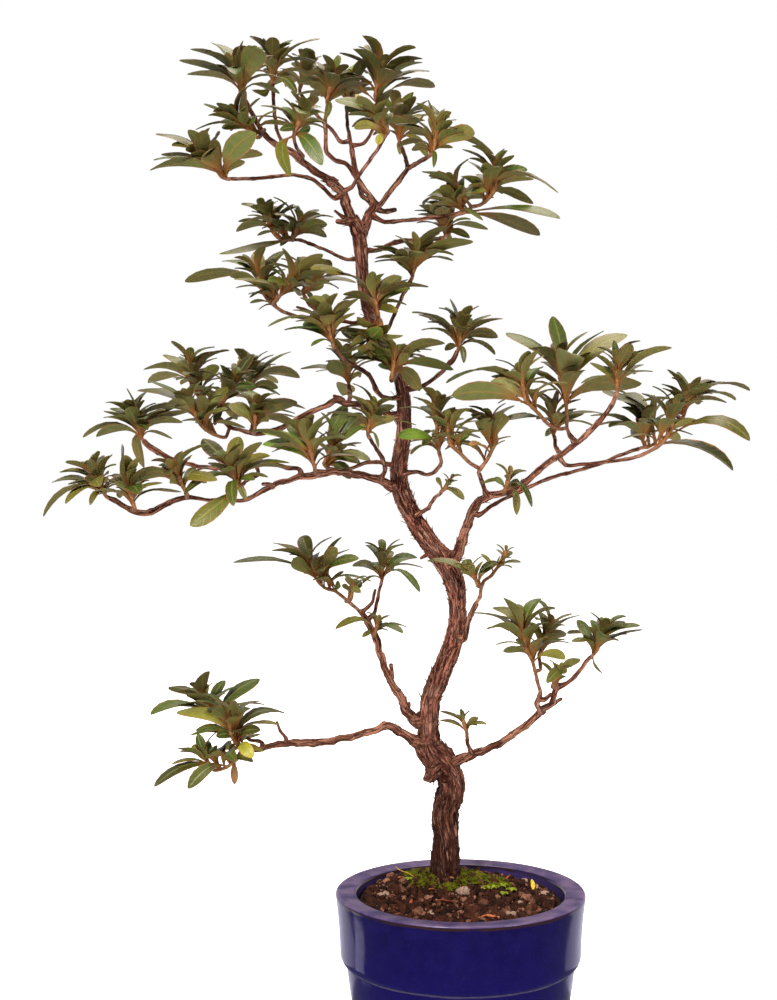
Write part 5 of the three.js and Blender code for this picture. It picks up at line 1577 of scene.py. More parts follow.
@dataclass(frozen=True)
class LeafSkin(Finish):
    """Waxy upper skin of an azalea leaf: dark green with a soft gloss and a sunken midrib."""

    petiole_end: float = 0.24
    vein: str = "#77743c"
    petiole: str = "#6a4013"
    ground: str | None = None
    ground_share: float = 0.0
    vein_relief: float = 0.12
    # Angle that the wave of the side veins runs through along a leaf
    vein_wave: float = 62.0

    def paint(self, coat: Coat) -> None:
        """The leaf's own green, its ribs and veins, a golden stalk, and a rusty edge of hairs and painted rim
        light.

        Args:
            coat: The coat to paint.
        """
        spot = add_node(coat.tree, "ShaderNodeUVMap", {"uv_map": "UVMap"}).outputs[0]
        across, along, _ = add_node(coat.tree, "ShaderNodeSeparateXYZ", inputs={0: spot}).outputs
        aside = coat.add(Step.ABSOLUTE, coat.add(Step.MULTIPLY_ADD, across, 2.0, -1.0))
        colour = coat.add(Step.COLOUR, attribute_name="leaf_colour")
        if self.ground:
            colour = coat.add(Step.MIX, self.ground_share, colour, self.ground)
        blotch = coat.add(Step.SHARE, coat.add(Step.GRAINS, per_mm(4), 3), 0.4, 0.7, 0.35)
        colour = coat.add(Step.MIX, blotch, colour, coat.add(Step.MIX, 0.5, colour, "#171d08"))
        slant = coat.add(Step.MULTIPLY_ADD, aside, -0.12, along)
        wave = coat.add(Step.SINE, coat.add(Step.MULTIPLY, slant, self.vein_wave))
        veins = coat.add(Step.SHARE, wave, 0.55, 1.0)
        colour = coat.add(Step.MIX, coat.add(Step.MULTIPLY, veins, 0.1), colour, self.vein)
        midrib = coat.add(Step.SHARE, aside, 0.16, 0.05)
        colour = coat.add(Step.MIX, coat.add(Step.MULTIPLY, midrib, 0.5), colour, self.vein)
        # Rusty margin: partly the hairy edge, partly painted rim light along the leaf's edge
        colour = coat.add(Step.MIX, coat.add(Step.SHARE, aside, 0.84, 1.0, 0.6), colour, "#8a5236")
        stalk = coat.add(Step.SHARE, along, self.petiole_end, self.petiole_end * 0.35)
        coat.feed({"Base Color": coat.add(Step.MIX, stalk, colour, self.petiole), "Specular IOR Level": 0.52,
                   "Subsurface Weight": 0.12, "Subsurface Scale": 0.6 * MM})
        height = coat.add(Step.ADD, midrib, coat.add(Step.MULTIPLY, veins, 0.4))
        coat.feed({"Normal": coat.add(Step.RELIEF, height, -self.vein_relief * MM)})


@dataclass(frozen=True)
class DownyShoot(Finish):
    """New azalea shoot: golden brown bark under flat rusty hairs, redder where it is older."""

    def paint(self, coat: Coat) -> None:
        """Golden at the tip, red-brown at the root.

        Args:
            coat: The coat to paint.
        """
        hairs = coat.add(Step.SHARE, coat.add(Step.GRAINS, per_mm(1.6), 3), 0.35, 0.65)
        young = coat.add(Step.MIX, hairs, "#55361a", "#775027")
        old = coat.add(Step.MIX, hairs, "#55321f", "#835b45")
        colour = coat.add(Step.MIX, coat.add(Step.VALUE, attribute_name="age"), young, old)
        coat.feed({"Base Color": colour, "Specular IOR Level": 0.3})
        coat.feed({"Normal": coat.add(Step.RELIEF, coat.add(Step.GRAINS, per_mm(0.5), 3), 0.15 * MM)})


@dataclass(frozen=True)
class DryPetal(Finish):
    """Fallen petal or bud scale: dried thin, with a little light coming through."""

    fresh: str = "#c7722f"
    dry: str = "#7a3418"

    def paint(self, coat: Coat) -> None:
        """Streaked from fresh to dry.

        Args:
            coat: The coat to paint.
        """
        streaks = coat.add(Step.SHARE, coat.add(Step.GRAINS, per_mm(1.8), 3), 0.35, 0.7)
        coat.feed({"Base Color": coat.add(Step.MIX, streaks, self.fresh, self.dry),
                   "Subsurface Weight": 0.2, "Subsurface Scale": 0.8 * MM})
        coat.feed({"Normal": coat.add(Step.RELIEF, coat.add(Step.GRAINS, per_mm(0.6), 3), 0.1 * MM)})


@dataclass(frozen=True)
class PaleCard(Finish):
    """Matt white card, so pale that it takes only soft shadows."""

    def paint(self, coat: Coat) -> None:
        """White with the faintest cloud.

        Args:
            coat: The coat to paint.
        """
        cloud = coat.add(Step.GRAINS, per_mm(60), 3)
        coat.feed({"Base Color": coat.add(Step.MIX, cloud, "#fbfafa", "#ffffff"),
                   "Emission Color": "#ffffff", "Emission Strength": 0.85})


LEAF_TOP = LeafSkin("azalea_leaf_waxy_top", 0.44, 1.4, petiole_end=0.4)
LEAF_UNDER = LeafSkin("azalea_leaf_matt_underside", 0.7, 1.35, petiole_end=0.46, vein="#745a26",
                      ground="#6c663a", ground_share=0.4, vein_relief=-0.2)
SHOOT_BARK = DownyShoot("azalea_shoot_downy", 0.62)
WEED_SKIN = CushionMoss("seedling_leaf_soft", 0.6, dark="#3f4c08", light="#76861c")
SOIL_CRUMBS = DampSoil("clay_and_bark_crumbs_damp", 0.92)
SOIL_GROUND = DampSoil("clay_ground_damp", 0.95, dark="#120b08", middle="#2c1c15", light="#3c2a20")
MOSS = CushionMoss("cushion_moss_living", 0.95)
PUMICE_STONE = Pumice("pumice_broken", 0.9)
PETAL = DryPetal("azalea_petal_dried", 0.55)
BUD_SCALE = DryPetal("azalea_bud_scale_yellow", 0.5, fresh="#d0b02c", dry="#8f7a1c")
RED_SCALE = DryPetal("azalea_scale_reddish", 0.6, fresh="#8a4630", dry="#552316")
DRAIN_PLASTIC = MouldedMesh("polyethylene_mesh_moulded", 0.5)
BARK_STRIP = LooseBark("azalea_bark_loose_strip", 0.8)
STUDIO_CARD = PaleCard("matt_white_card", 0.9)


# ---- Small things that lie in numbers -------------------------------------------------------------
@dataclass(frozen=True)
class Strewing:
    """Copies of a few small shapes, strewn over a surface by Geometry Nodes.

    Lengths are in millimetres and angles in degrees. The surface's own value "cover" says where they
    lie, and `follow` names the direction that their length follows.
    """

    name: str
    spacing: float
    density: float
    smallest: float
    largest: float
    tilt: float
    turn: float
    seed: int
    follow: str | None = None

    def _inputs(self) -> dict[str, tuple[str, float | int]]:
        """Named inputs of the tree: the kind of each socket, and its value.

        Returns:
            Kind and value of each input, by its name.
        """
        return {
            "Spacing": ("NodeSocketFloat", self.spacing * MM),
            "Density": ("NodeSocketFloat", self.density / MM ** 2),
            "Smallest": ("NodeSocketFloat", self.smallest),
            "Largest": ("NodeSocketFloat", self.largest),
            "Tilt": ("NodeSocketFloat", math.radians(self.tilt)),
            "Turn": ("NodeSocketFloat", math.radians(self.turn)),
            "Seed": ("NodeSocketInt", self.seed),
        }

    def _tree(self, shapes: Sequence[Object], finish: Finish) -> tuple[NodeTree, dict[str, str]]:
        """Geometry Nodes tree that strews the shapes, and its inputs' identifiers.

        Args:
            shapes: The shapes.
            finish: What they are made of.

        Returns:
            The tree, and the identifier of each input by its name.
        """
        tree = bpy.data.node_groups.new(self.name, "GeometryNodeTree")
        sockets = tree.interface
        sockets.new_socket(name="Geometry", in_out="INPUT", socket_type="NodeSocketGeometry")
        sockets.new_socket(name="Geometry", in_out="OUTPUT", socket_type="NodeSocketGeometry")
        named = {name: sockets.new_socket(name=name, in_out="INPUT", socket_type=kind).identifier
                 for name, (kind, _) in self._inputs().items()}
        given = add_node(tree, "NodeGroupInput").outputs
        cover = add_node(tree, "GeometryNodeInputNamedAttribute", {"data_type": "FLOAT"},
                         {"Name": "cover"})
        spread = add_node(tree, "GeometryNodeDistributePointsOnFaces", {"distribute_method": "POISSON"}, {
            "Mesh": given["Geometry"], "Distance Min": given["Spacing"],
            "Density Max": given["Density"], "Density Factor": cover.outputs[0], "Seed": given["Seed"]})
        stance = spread.outputs["Rotation"]
        if self.follow:
            run = add_node(tree, "GeometryNodeInputNamedAttribute", {"data_type": "FLOAT_VECTOR"},
                           {"Name": self.follow})
            stance = add_node(tree, "FunctionNodeAxesToRotation", {
                "primary_axis": "Z", "secondary_axis": "X"}, {
                0: spread.outputs["Normal"], 1: run.outputs[0]}).outputs[0]
        most = add_node(tree, "ShaderNodeCombineXYZ", inputs={
            0: given["Tilt"], 1: given["Tilt"], 2: given["Turn"]}).outputs[0]
        least = add_node(tree, "ShaderNodeVectorMath", {"operation": "SCALE"}, {
            0: most, "Scale": -1.0}).outputs[0]
        tumble = add_node(tree, "FunctionNodeRandomValue", {"data_type": "FLOAT_VECTOR"}, {
            0: least, 1: most, "Seed": given["Seed"]}).outputs[0]
        turned = add_node(tree, "FunctionNodeRotateRotation", {"rotation_space": "LOCAL"}, {
            0: stance, 1: add_node(tree, "FunctionNodeEulerToRotation", inputs={0: tumble}).outputs[0]})
        size = add_node(tree, "FunctionNodeRandomValue", {"data_type": "FLOAT"}, {
            2: given["Smallest"], 3: given["Largest"], "Seed": self.seed + 1}).outputs[1]
        choice = add_node(tree, "FunctionNodeRandomValue", {"data_type": "INT"}, {
            4: 0, 5: len(shapes) - 1, "Seed": self.seed + 2}).outputs[2]
        tray = add_node(tree, "GeometryNodeJoinGeometry")
        for shape in shapes:
            info = add_node(tree, "GeometryNodeObjectInfo", inputs={0: shape, 1: True})
            tree.links.new(info.outputs["Geometry"], tray.inputs[0])
        copies = add_node(tree, "GeometryNodeInstanceOnPoints", inputs={
            "Points": spread.outputs["Points"], "Instance": tray.outputs[0], "Pick Instance": True,
            "Instance Index": choice, "Rotation": turned.outputs[0], "Scale": size})
        tone = add_node(tree, "FunctionNodeRandomValue", {"data_type": "FLOAT"}, {
            2: 0.0, 3: 1.0, "Seed": self.seed + 3}).outputs[1]
        toned = add_node(tree, "GeometryNodeStoreNamedAttribute", {
            "data_type": "FLOAT", "domain": "INSTANCE"}, {
            "Geometry": copies.outputs[0], "Name": "tone", "Value": tone})
        real = add_node(tree, "GeometryNodeRealizeInstances", inputs={0: toned.outputs[0]})
        dressed = add_node(tree, "GeometryNodeSetMaterial", inputs={
            0: real.outputs[0], "Material": finish.material()})
        add_node(tree, "NodeGroupOutput", inputs={0: dressed.outputs[0]})
        return tree, named

    def strewn(self, surface: Object, shapes: Sequence[Object], finish: Finish) -> Object:
        """Strew the shapes, and turn the surface's object into the piece that they make.

        Args:
            surface: Object of the surface, which only says where the copies lie.
            shapes: The shapes, which are removed afterwards.
            finish: What they are made of.

        Returns:
            The piece.
        """
        tree, named = self._tree(shapes, finish)
        modifier = surface.modifiers.new(self.name, "NODES")
        modifier.node_group = tree
        for name, (_, value) in self._inputs().items():
            modifier[named[name]] = value
        surface.update_tag()
        settled(surface)
        surface.name = surface.data.name = self.name
        discard(shapes)
        bpy.data.node_groups.remove(tree)
        return surface


def crumb(name: str, radius: float, seed: int, flatness: float, detail: int = 2) -> Object:
    """Rough lump, for a crumb of soil or a stone.

    Args:
        name: Name of the object.
        radius: Its radius, mm.
        seed: Which lump it is.
        flatness: Its height as a share of its width.
        detail: How finely it is divided.

    Returns:
        The lump's object, at the origin.
    """
    form = bmesh.new()
    bmesh.ops.create_icosphere(form, subdivisions=detail, radius=1.0)
    for point in form.verts:
        shift = Vector((seed * 7.3, seed * 1.7, 0.0))
        bulge = 1 + 0.5 * noise.noise(point.co * 1.4 + shift) + 0.22 * noise.noise(point.co * 3.7 + shift)
        point.co = Vector((point.co.x * 1.12, point.co.y, point.co.z * flatness)) * bulge * radius * MM
    mesh = bpy.data.meshes.new(name)
    form.to_mesh(mesh)
    form.free()
    mesh.shade_smooth()
    return shown(bpy.data.objects.new(name, mesh))


def tuft(name: str, blades: int, length: float, width: float, lean: float, seed: int) -> Object:
    """Tuft of three-sided pointed blades that lean out from one foot.

    Args:
        name: Name of the object.
        blades: How many blades it has.
        length: Length of a blade, mm.
        width: Its width, mm.
        lean: How far a blade leans out, in degrees from upright.
        seed: Seed of its random numbers.

    Returns:
        The tuft's object, at the origin.
    """
    draws = Draws(seed)
    mould = Mould()
    faces = ring_faces(2, 3, end_pole=True)
    for i in range(blades):
        angle = 2 * math.pi * (i + 0.6 * draws.next()) / blades
        leaning = math.radians(lean) * draws.between(0.35, 1.15)
        reach = length * draws.between(0.7, 1.1)
        out = np.array([math.cos(angle), math.sin(angle), 0.0])
        side = np.array([-math.sin(angle), math.cos(angle), 0.0])
        heading = out * math.sin(leaning) + UP * math.cos(leaning)
        face = np.cross(heading, side)
        rings = []
        for share, half in ((0.0, 0.6), (0.5, 1.0)):
            middle = heading * reach * share + out * 0.1 * length
            rings += [middle + side * half * width / 2, middle + face * width * 0.2,
                      middle - side * half * width / 2]
        tip = heading * reach + out * (0.22 * length) * math.sin(leaning)
        mould.add(np.array([*rings, tip]), [corners[::-1] for corners in faces])
    return mould.piece(name, [])


def ribbon(route: np.ndarray, widths: Sequence[float], upward: np.ndarray, cup: float,
           thickness: float) -> tuple[np.ndarray, Faces]:
    """Thin closed strip along a route, cupped across, pointed at its tip.

    Args:
        route: Points of its middle line, mm.
        widths: Its width at each point but the last, which is its tip.
        upward: Direction that its upper face turns to.
        cup: How far its edges rise, as a share of its half width.
        thickness: Its thickness, mm.

    Returns:
        Its points and faces.
    """
    forward = unit(np.gradient(route, axis=0))
    side = unit(np.cross(forward, upward))
    face = np.cross(side, forward)
    points = []
    for i, width in enumerate(widths):
        for share, under in ((-1, 0), (0, -1), (1, 0), (0, 1)):
            rise = cup * width / 2 * share * share + under * thickness / 2
            points.append(route[i] + side[i] * share * width / 2 + face[i] * rise)
    points.append(route[-1])
    return np.array(points), ring_faces(len(widths), 4, end_pole=True)


# ---- Pot ------------------------------------------------------------------------------------------
@dataclass(frozen=True)
class GlazedPot:
    """Round stoneware pot: a tapered body, a collar with a thick rolled rim, and drain holes."""

    height: float
    rim_radius: float = 65.0
    mouth_radius: float = 53.5
    collar_height: float = 37.5
    foot_radius: float = 47.0
    floor_thickness: float = 8.0
    drain_radius: float = 5.0
    drain_ring: float = 25.0
    drain_count: int = 3
    sides: int = 128
    drill_sides: int = 24
    steps: int = 7

    @property
    def lip_height(self) -> float:
        """Height of the lip, which stands a little proud, mm."""
        return self.height + 0.7

    @property
    def groove_height(self) -> float:
        """Height of the groove under the collar, mm."""
        return self.height - self.collar_height + 2.3

    def _profile(self) -> np.ndarray:
        """Outline of the wall and floor, as radius and height, from the underside's middle.

        Returns:
            Radius and height of each point, mm.
        """
        top, groove, collar = self.lip_height, self.groove_height, self.height - self.collar_height
        foot, rim, mouth = self.foot_radius, self.rim_radius, self.mouth_radius
        # From the foot up and back down inside: the pull and the end of each curve
        curves = [
            (foot, 0), (foot + 0.5, 1), (55.6, 22), (59.2, groove - 1.8),
            (59.2, groove - 0.6), (60.0, groove), (62.6, groove + 0.4), (62.5, groove + 6),
            (62.9, groove + 20), (rim - 0.4, top - 3), (rim + 0.2, top - 0.1), (rim - 1.3, top),
            (60, top + 0.2), (mouth + 1.8, top - 0.5), (mouth + 0.1, top - 0.7), (mouth, top - 3),
            (mouth - 0.4, collar + 14), (mouth - 1, collar), (mouth - 5, 25),
            (foot - 3, self.floor_thickness),
        ]
        outline = [np.array([radius, 0.0]) for radius in np.linspace(0, foot - 1, 5)[1:-1]]
        start = np.array([foot - 1.0, 0.0])
        for middle, end in zip(np.array(curves[::2]), np.array(curves[1::2])):
            for t in np.linspace(0, 1, self.steps + 1)[:-1]:
                outline.append(start * (1 - t) ** 2 + 2 * middle * (1 - t) * t + end * t * t)
            start = end
        inner = np.linspace(foot - 3, 0, 5)[:-1]
        outline += [np.array([radius, self.floor_thickness]) for radius in inner]
        return np.array(outline)

    def build(self) -> list[Object]:
        """Throw the pot, with the slight unevenness of thrown ware, and drill its drain holes.

        Returns:
            The pot's piece.
        """
        angles = turns(self.sides)
        rings = []
        for radius, height in self._profile():
            wobble = 0.12 * np.sin(2 * angles + height / 30) + 0.08 * np.sin(5 * angles - height / 11)
            held = radius + wobble * smooth_step(height, 2, 20) * (radius > self.foot_radius)
            rings.append(level_ring(held, angles, height))
        poles = [[0, 0, 0], [0, 0, self.floor_thickness]]
        glaze = CobaltGlaze("cobalt_glaze_fired", 0.09, 1.5, self.lip_height, self.groove_height,
                            self.mouth_radius)
        pot = moulded("glazed_pot", [glaze], np.vstack([*rings, poles]),
                      ring_faces(len(rings), self.sides, True, True))
        drills = [self._drill(i) for i in range(self.drain_count)]
        for drill in drills:
            cut = pot.modifiers.new(drill.name, "BOOLEAN")
            cut.object, cut.operation, cut.solver = drill, "DIFFERENCE", "EXACT"
        settled(pot)
        discard(drills)
        pot.data.set_sharp_from_angle(angle=math.radians(50))
        return [carried(pot, "glaze", "pot")]

    def _drill(self, i: int) -> Object:
        """Round bar where a drain hole goes.

        Args:
            i: Which hole it is for.

        Returns:
            The bar's object.
        """
        turn, angles = 2 * math.pi * i / self.drain_count, turns(self.drill_sides)
        middle = np.array([math.cos(turn), math.sin(turn), 0.0]) * self.drain_ring
        ends = (-self.floor_thickness, 2 * self.floor_thickness)
        rings = [middle + level_ring(self.drain_radius, angles, end) for end in ends]
        return moulded(f"drill_{i}", [], np.vstack(rings), ring_faces(2, self.drill_sides))


# ---- Soil, stones and what lies on them -----------------------------------------------------------
@dataclass(frozen=True)
class SoilBed:
    """Mound of damp soil that fills the pot, with crumbs and pumice on it."""

    foot: np.ndarray
    pot: GlazedPot
    edge_drop: float = 4.5
    mound_rise: float = 8.5
    mound_radius: float = 52.0
    bottom: float = 9.8
    sides: int = 96
    grid: int = 64
    bare_radius: float = 7.0
    # Pumice stones on the soil: x, y and radius, mm
    stones: tuple[tuple[float, float, float], ...] = (
        (1, -7, 3.3), (41, 20, 2.6), (45, 8, 2.6), (30, -10, 2.3), (-40, 0, 2.6),
        (24, -30, 2.2), (-16, -29, 2.4), (36, 31, 2.3))

    def height_at(self, x: np.ndarray | float, y: np.ndarray | float) -> np.ndarray | float:
        """Height of the soil: a low mound whose top is at the trunk, with crumbs on it.

        Args:
            x: Place from the pot's middle to the right, mm.
            y: Place from the pot's middle to the back, mm.

        Returns:
            The height, mm.
        """
        away = np.clip(np.hypot(x - self.foot[0], y - self.foot[1]) / self.mound_radius, 0, 1)
        mound = self.mound_rise * (1 - away * away * (3 - 2 * away))
        ripple = 0.7 * np.sin(0.55 * x + 1.3) * np.sin(0.62 * y + 0.4)
        return self.pot.height - self.edge_drop + mound + ripple

    def _ground(self) -> Object:
        """The bed itself: a closed body that follows the pot's inside.

        Returns:
            Its object.
        """
        edge, collar = self.pot.height - self.edge_drop, self.pot.height - self.pot.collar_height
        mouth = self.pot.mouth_radius
        wall = [(20.0, self.bottom), (self.pot.foot_radius - 3.6, self.bottom),
                (mouth - 1.6, collar), (mouth - 0.9, edge - 1)]
        top = [(radius, None) for radius in np.linspace(mouth - 0.9, 1.5, 26)]
        angles = turns(self.sides)
        rings = []
        for radius, height in wall + top:
            if height is None:
                x, y = radius * np.cos(angles), radius * np.sin(angles)
                roughness = [noise.noise(Vector((u, v, 0.0)) * 0.45) for u, v in zip(x, y)]
                height = self.height_at(x, y) + 0.7 * np.array(roughness) - 0.6
            rings.append(level_ring(radius, angles, height))
        poles = [[0, 0, self.bottom], [0, 0, float(self.height_at(0, 0)) - 0.6]]
        points = np.vstack([*rings, poles])
        return moulded("soil_bed", [SOIL_GROUND], points, ring_faces(len(rings), self.sides, True, True),
                       tone=np.full(len(points), 0.4))

    def surface(self, cover: Callable[[np.ndarray, np.ndarray], np.ndarray], lift: float = 0.0) -> Object:
        """Bare top of the soil, for things to be strewn on.

        Args:
            cover: Share from 0 to 1 that says how thickly things lie at each place.
            lift: How far above the soil it lies, mm.

        Returns:
            Its object.
        """
        reach, grid = self.pot.mouth_radius - 2.9, self.grid
        line = np.linspace(-reach, reach, grid)
        x, y = np.meshgrid(line, line)
        inside = np.hypot(x, y) <= reach
        points = np.column_stack([x.ravel(), y.ravel(), self.height_at(x, y).ravel() + lift])
        faces = []
        for row, column in np.ndindex(grid - 1, grid - 1):
            if inside[row:row + 2, column:column + 2].all():
                corner = row * grid + column
                faces.append((corner, corner + 1, corner + grid + 1, corner + grid))
        return moulded("surface", [], points, faces, cover=cover(x.ravel(), y.ravel()))

    def build(self) -> list[Object]:
        """Fill the pot and strew the crumbs and stones.

        Returns:
            The bed, the crumbs, the chips and the stones.
        """
        pieces = [carried(self._ground(), "soil", "soil")]

        def off_the_trunk(x: np.ndarray, y: np.ndarray) -> np.ndarray:
            """Crumbs lie everywhere but under the trunk."""
            return (np.hypot(x - self.foot[0], y - self.foot[1]) > self.bare_radius).astype(float)

        crumbs = [crumb(f"crumb_{i}", 1.95, i + 1, 0.72) for i in range(6)]
        coarse = Strewing("soil_crumbs", 2.5, 0.25, 0.6, 1.5, 180, 180, 11)
        pieces.append(carried(coarse.strewn(self.surface(off_the_trunk), crumbs, SOIL_CRUMBS), "soil"))
        chips = [crumb(f"chip_{i}", 0.8, i + 20, 0.6, 1) for i in range(4)]
        fine = Strewing("soil_chips", 1.2, 0.5, 0.6, 1.4, 180, 180, 12)
        pieces.append(carried(fine.strewn(self.surface(off_the_trunk, 0.9), chips, SOIL_CRUMBS), "soil"))
        pieces += [self._stone(i, *stone) for i, stone in enumerate(self.stones)]
        return pieces

    def _stone(self, i: int, x: float, y: float, radius: float) -> Object:
        """One pumice stone, sunk a little into the soil.

        Args:
            i: Which stone it is.
            x: Its place to the right, mm.
            y: Its place to the back, mm.
            radius: Its radius, mm.

        Returns:
            The stone's piece.
        """
        stone = crumb(f"pumice_{i}", radius, 40 + i, 0.74, 4)
        turn = Matrix.Rotation(i * 1.3, 4, "Z") @ Matrix.Rotation(0.3, 4, "X")
        height = float(self.height_at(x, y)) + radius * 0.28
        stone.data.transform(Matrix.Translation(Vector((x, y, height)) * MM) @ turn)
        stone.data.materials.append(PUMICE_STONE.material())
        return carried(stone, "soil")


@dataclass(frozen=True)
class Scrap:
    """A fallen scrap: where it starts, which way it points, and how it curls."""

    name: str
    finish: Finish
    x: float
    y: float
    heading: float
    length: float
    width: float
    curl: float
    rise: float


@dataclass(frozen=True)
class Litter:
    """Dry petals, bud scales and a grass blade that lie on the soil."""

    bed: SoilBed
    scraps: tuple[Scrap, ...] = (
        Scrap("petal_curled", PETAL, 3.5, -43.0, 75, 20.0, 2.6, -165, 2.2),
        Scrap("petal_small", PETAL, -19.0, -6.0, 25, 6.0, 1.7, -70, 1.4),
        Scrap("petal_brown", RED_SCALE, -13.0, -17.5, -12, 8.0, 2.0, 25, 0.8),
        Scrap("petal_brown_small", RED_SCALE, -27.0, -19.0, 60, 5.0, 1.6, 20, 1.0),
        Scrap("bud_scale", BUD_SCALE, 39.0, 14.0, 80, 5.0, 2.2, 30, 4.0),
        Scrap("scale_red", RED_SCALE, 25.0, 27.0, 40, 5.0, 1.4, 20, 2.6),
        Scrap("scale_back", RED_SCALE, -6.0, 36.0, 170, 7.0, 1.8, 60, 1.0),
        Scrap("petal_back", PETAL, -30.0, 22.0, 220, 8.0, 2.1, 100, 1.2),
        Scrap("grass_blade", BUD_SCALE, -23.0, 16.0, 150, 12.0, 0.7, 15, 6.5),
    )

    def build(self) -> list[Object]:
        """Lay each scrap on the soil."""
        return [carried(self._scrap(scrap), "leaf") for scrap in self.scraps]

    def _scrap(self, scrap: Scrap) -> Object:
        """Cupped strip that curls as it goes, and rises toward its tip.

        Args:
            scrap: The scrap.

        Returns:
            Its object.
        """
        steps = 14
        place, heading = np.array([scrap.x, scrap.y]), math.radians(scrap.heading)
        route = []
        for i in range(steps + 1):
            height = float(self.bed.height_at(*place)) + 1.6 + scrap.rise * (i / steps) ** 1.5
            route.append([*place, height])
            heading += math.radians(scrap.curl) / steps
            place = place + np.array([math.cos(heading), math.sin(heading)]) * scrap.length / steps
        widths = [scrap.width * (0.35 + 0.65 * math.sin(math.pi * min(i / steps * 1.05, 1)) ** 0.7)
                  for i in range(steps)]
        strip = ribbon(np.array(route), widths, UP, 0.35, 0.35)
        return moulded(scrap.name, [scrap.finish], *strip, sharp=50)


@dataclass(frozen=True)
class MossPatch:
    """Moss and seedlings round the trunk's foot."""

    bed: SoilBed
    radius: float = 27.0
    thickness: float = 2.4
    # Seedlings: x, y and the length of their leaves, mm
    seedlings: tuple[tuple[float, float, float], ...] = (
        (17, 3, 4.2), (21, 7, 4.8), (13, -1, 3.4), (27, 4, 3.6), (22, -3, 3.2), (-27, 12, 3.0))
    # Widths of a seedling's leaf from its stalk to its tip, mm
    lobes: tuple[float, ...] = (0.35, 0.4, 0.9, 1.9, 1.2, 2.1, 1.1)

    def _lobes(self, angle: np.ndarray) -> np.ndarray:
        """How far the patch reaches at an angle round the trunk, as a share of its radius."""
        return 1 + 0.16 * np.sin(3 * angle + 0.7) + 0.1 * np.sin(5 * angle + 2)

    def _cushion(self) -> Object:
        """Low lumpy cushion that lies on the soil.

        Returns:
            Its object.
        """
        rings, sides = 18, 72
        angles, foot = turns(sides), self.bed.foot
        layers = []
        for ring in range(1, rings):
            polar = math.pi * ring / rings
            reach, rise = math.sin(polar), -math.cos(polar)
            x = foot[0] + 3 + reach * self.radius * self._lobes(angles) * np.cos(angles)
            y = foot[1] + reach * self.radius * 0.66 * self._lobes(angles) * np.sin(angles)
            lump = [0.55 + 0.75 * noise.noise(Vector((u, v, 1.0)) * 0.22) for u, v in zip(x, y)]
            swell = np.where(rise > 0, np.array(lump), 1.0)
            layers.append(np.column_stack([x, y, self.bed.height_at(x, y) + rise * self.thickness * swell]))
        centre = [foot[0] + 3, foot[1]]
        level = float(self.bed.height_at(*centre))
        poles = [[*centre, level - self.thickness], [*centre, level + self.thickness * 0.5]]
        points = np.vstack([*layers, poles])
        return moulded("moss_cushion", [MOSS], points, ring_faces(len(layers), sides, True, True),
                       tone=np.full(len(points), 0.15))

    def _thickly(self, x: np.ndarray, y: np.ndarray) -> np.ndarray:
        """How thickly the moss grows: in patches left, right and in front of the trunk.

        Args:
            x: Places to the right, mm.
            y: Places to the back, mm.

        Returns:
            Share from 0 to 1 at each place.
        """
        foot = self.bed.foot
        dx, dy = x - foot[0] - 3, y - foot[1]
        inside = np.hypot(dx, dy / 0.66) / (self.radius * self._lobes(np.arctan2(dy, dx))) < 1.02
        patch = np.array([noise.noise(Vector((u, v, 4.0)) * 0.16) for u, v in zip(x, y)])
        bare = np.hypot(x - foot[0] + 1, y - foot[1] + 9) < 6.5
        return inside * ~bare * np.clip(0.75 + 1.6 * patch, 0, 1)

    def _seedling(self, mould: Mould, x: float, y: float, size: float, draws: Draws) -> None:
        """A rosette of small lobed leaves on short stalks.

        Args:
            mould: What takes its leaves.
            x: Its place to the right, mm.
            y: Its place to the back, mm.
            size: Length of its leaves, mm.
            draws: Random numbers.
        """
        leaves = 6
        for i in range(leaves):
            angle = 2 * math.pi * (i + 0.5 * draws.next()) / leaves
            out = np.array([math.cos(angle), math.sin(angle), 0.0])
            reach = size * draws.between(0.75, 1.1)
            start = np.array([x, y, float(self.bed.height_at(x, y)) + 1.2])
            shares = np.linspace(0, 1, 8)
            route = [start + out * reach * share + UP * (1.8 * math.sin(2.2 * share)) for share in shares]
            points, faces = ribbon(np.array(route), self.lobes, UP, 0.3, 0.25)
            mould.add(points, faces, tone=np.full(len(points), draws.between(0.3, 1)))

    def build(self) -> list[Object]:
        """Lay the cushion, grow its tufts, and add the seedlings.

        Returns:
            The cushion, the tufts and the seedlings.
        """
        pieces = [carried(self._cushion(), "moss", "moss")]
        tufts = [tuft(f"tuft_{i}", 7, 1.5, 0.5, 55, 60 + i) for i in range(4)]
        strewing = Strewing("moss_tufts", 0.75, 1.7, 0.6, 1.35, 18, 180, 21)
        surface = self.bed.surface(self._thickly, 1.5)
        pieces.append(carried(strewing.strewn(surface, tufts, MOSS), "moss"))
        mould, draws = Mould(), Draws(77)
        for seedling in self.seedlings:
            self._seedling(mould, *seedling, draws)
        pieces.append(carried(mould.piece("seedlings", [WEED_SKIN], 50), "moss"))
        return pieces


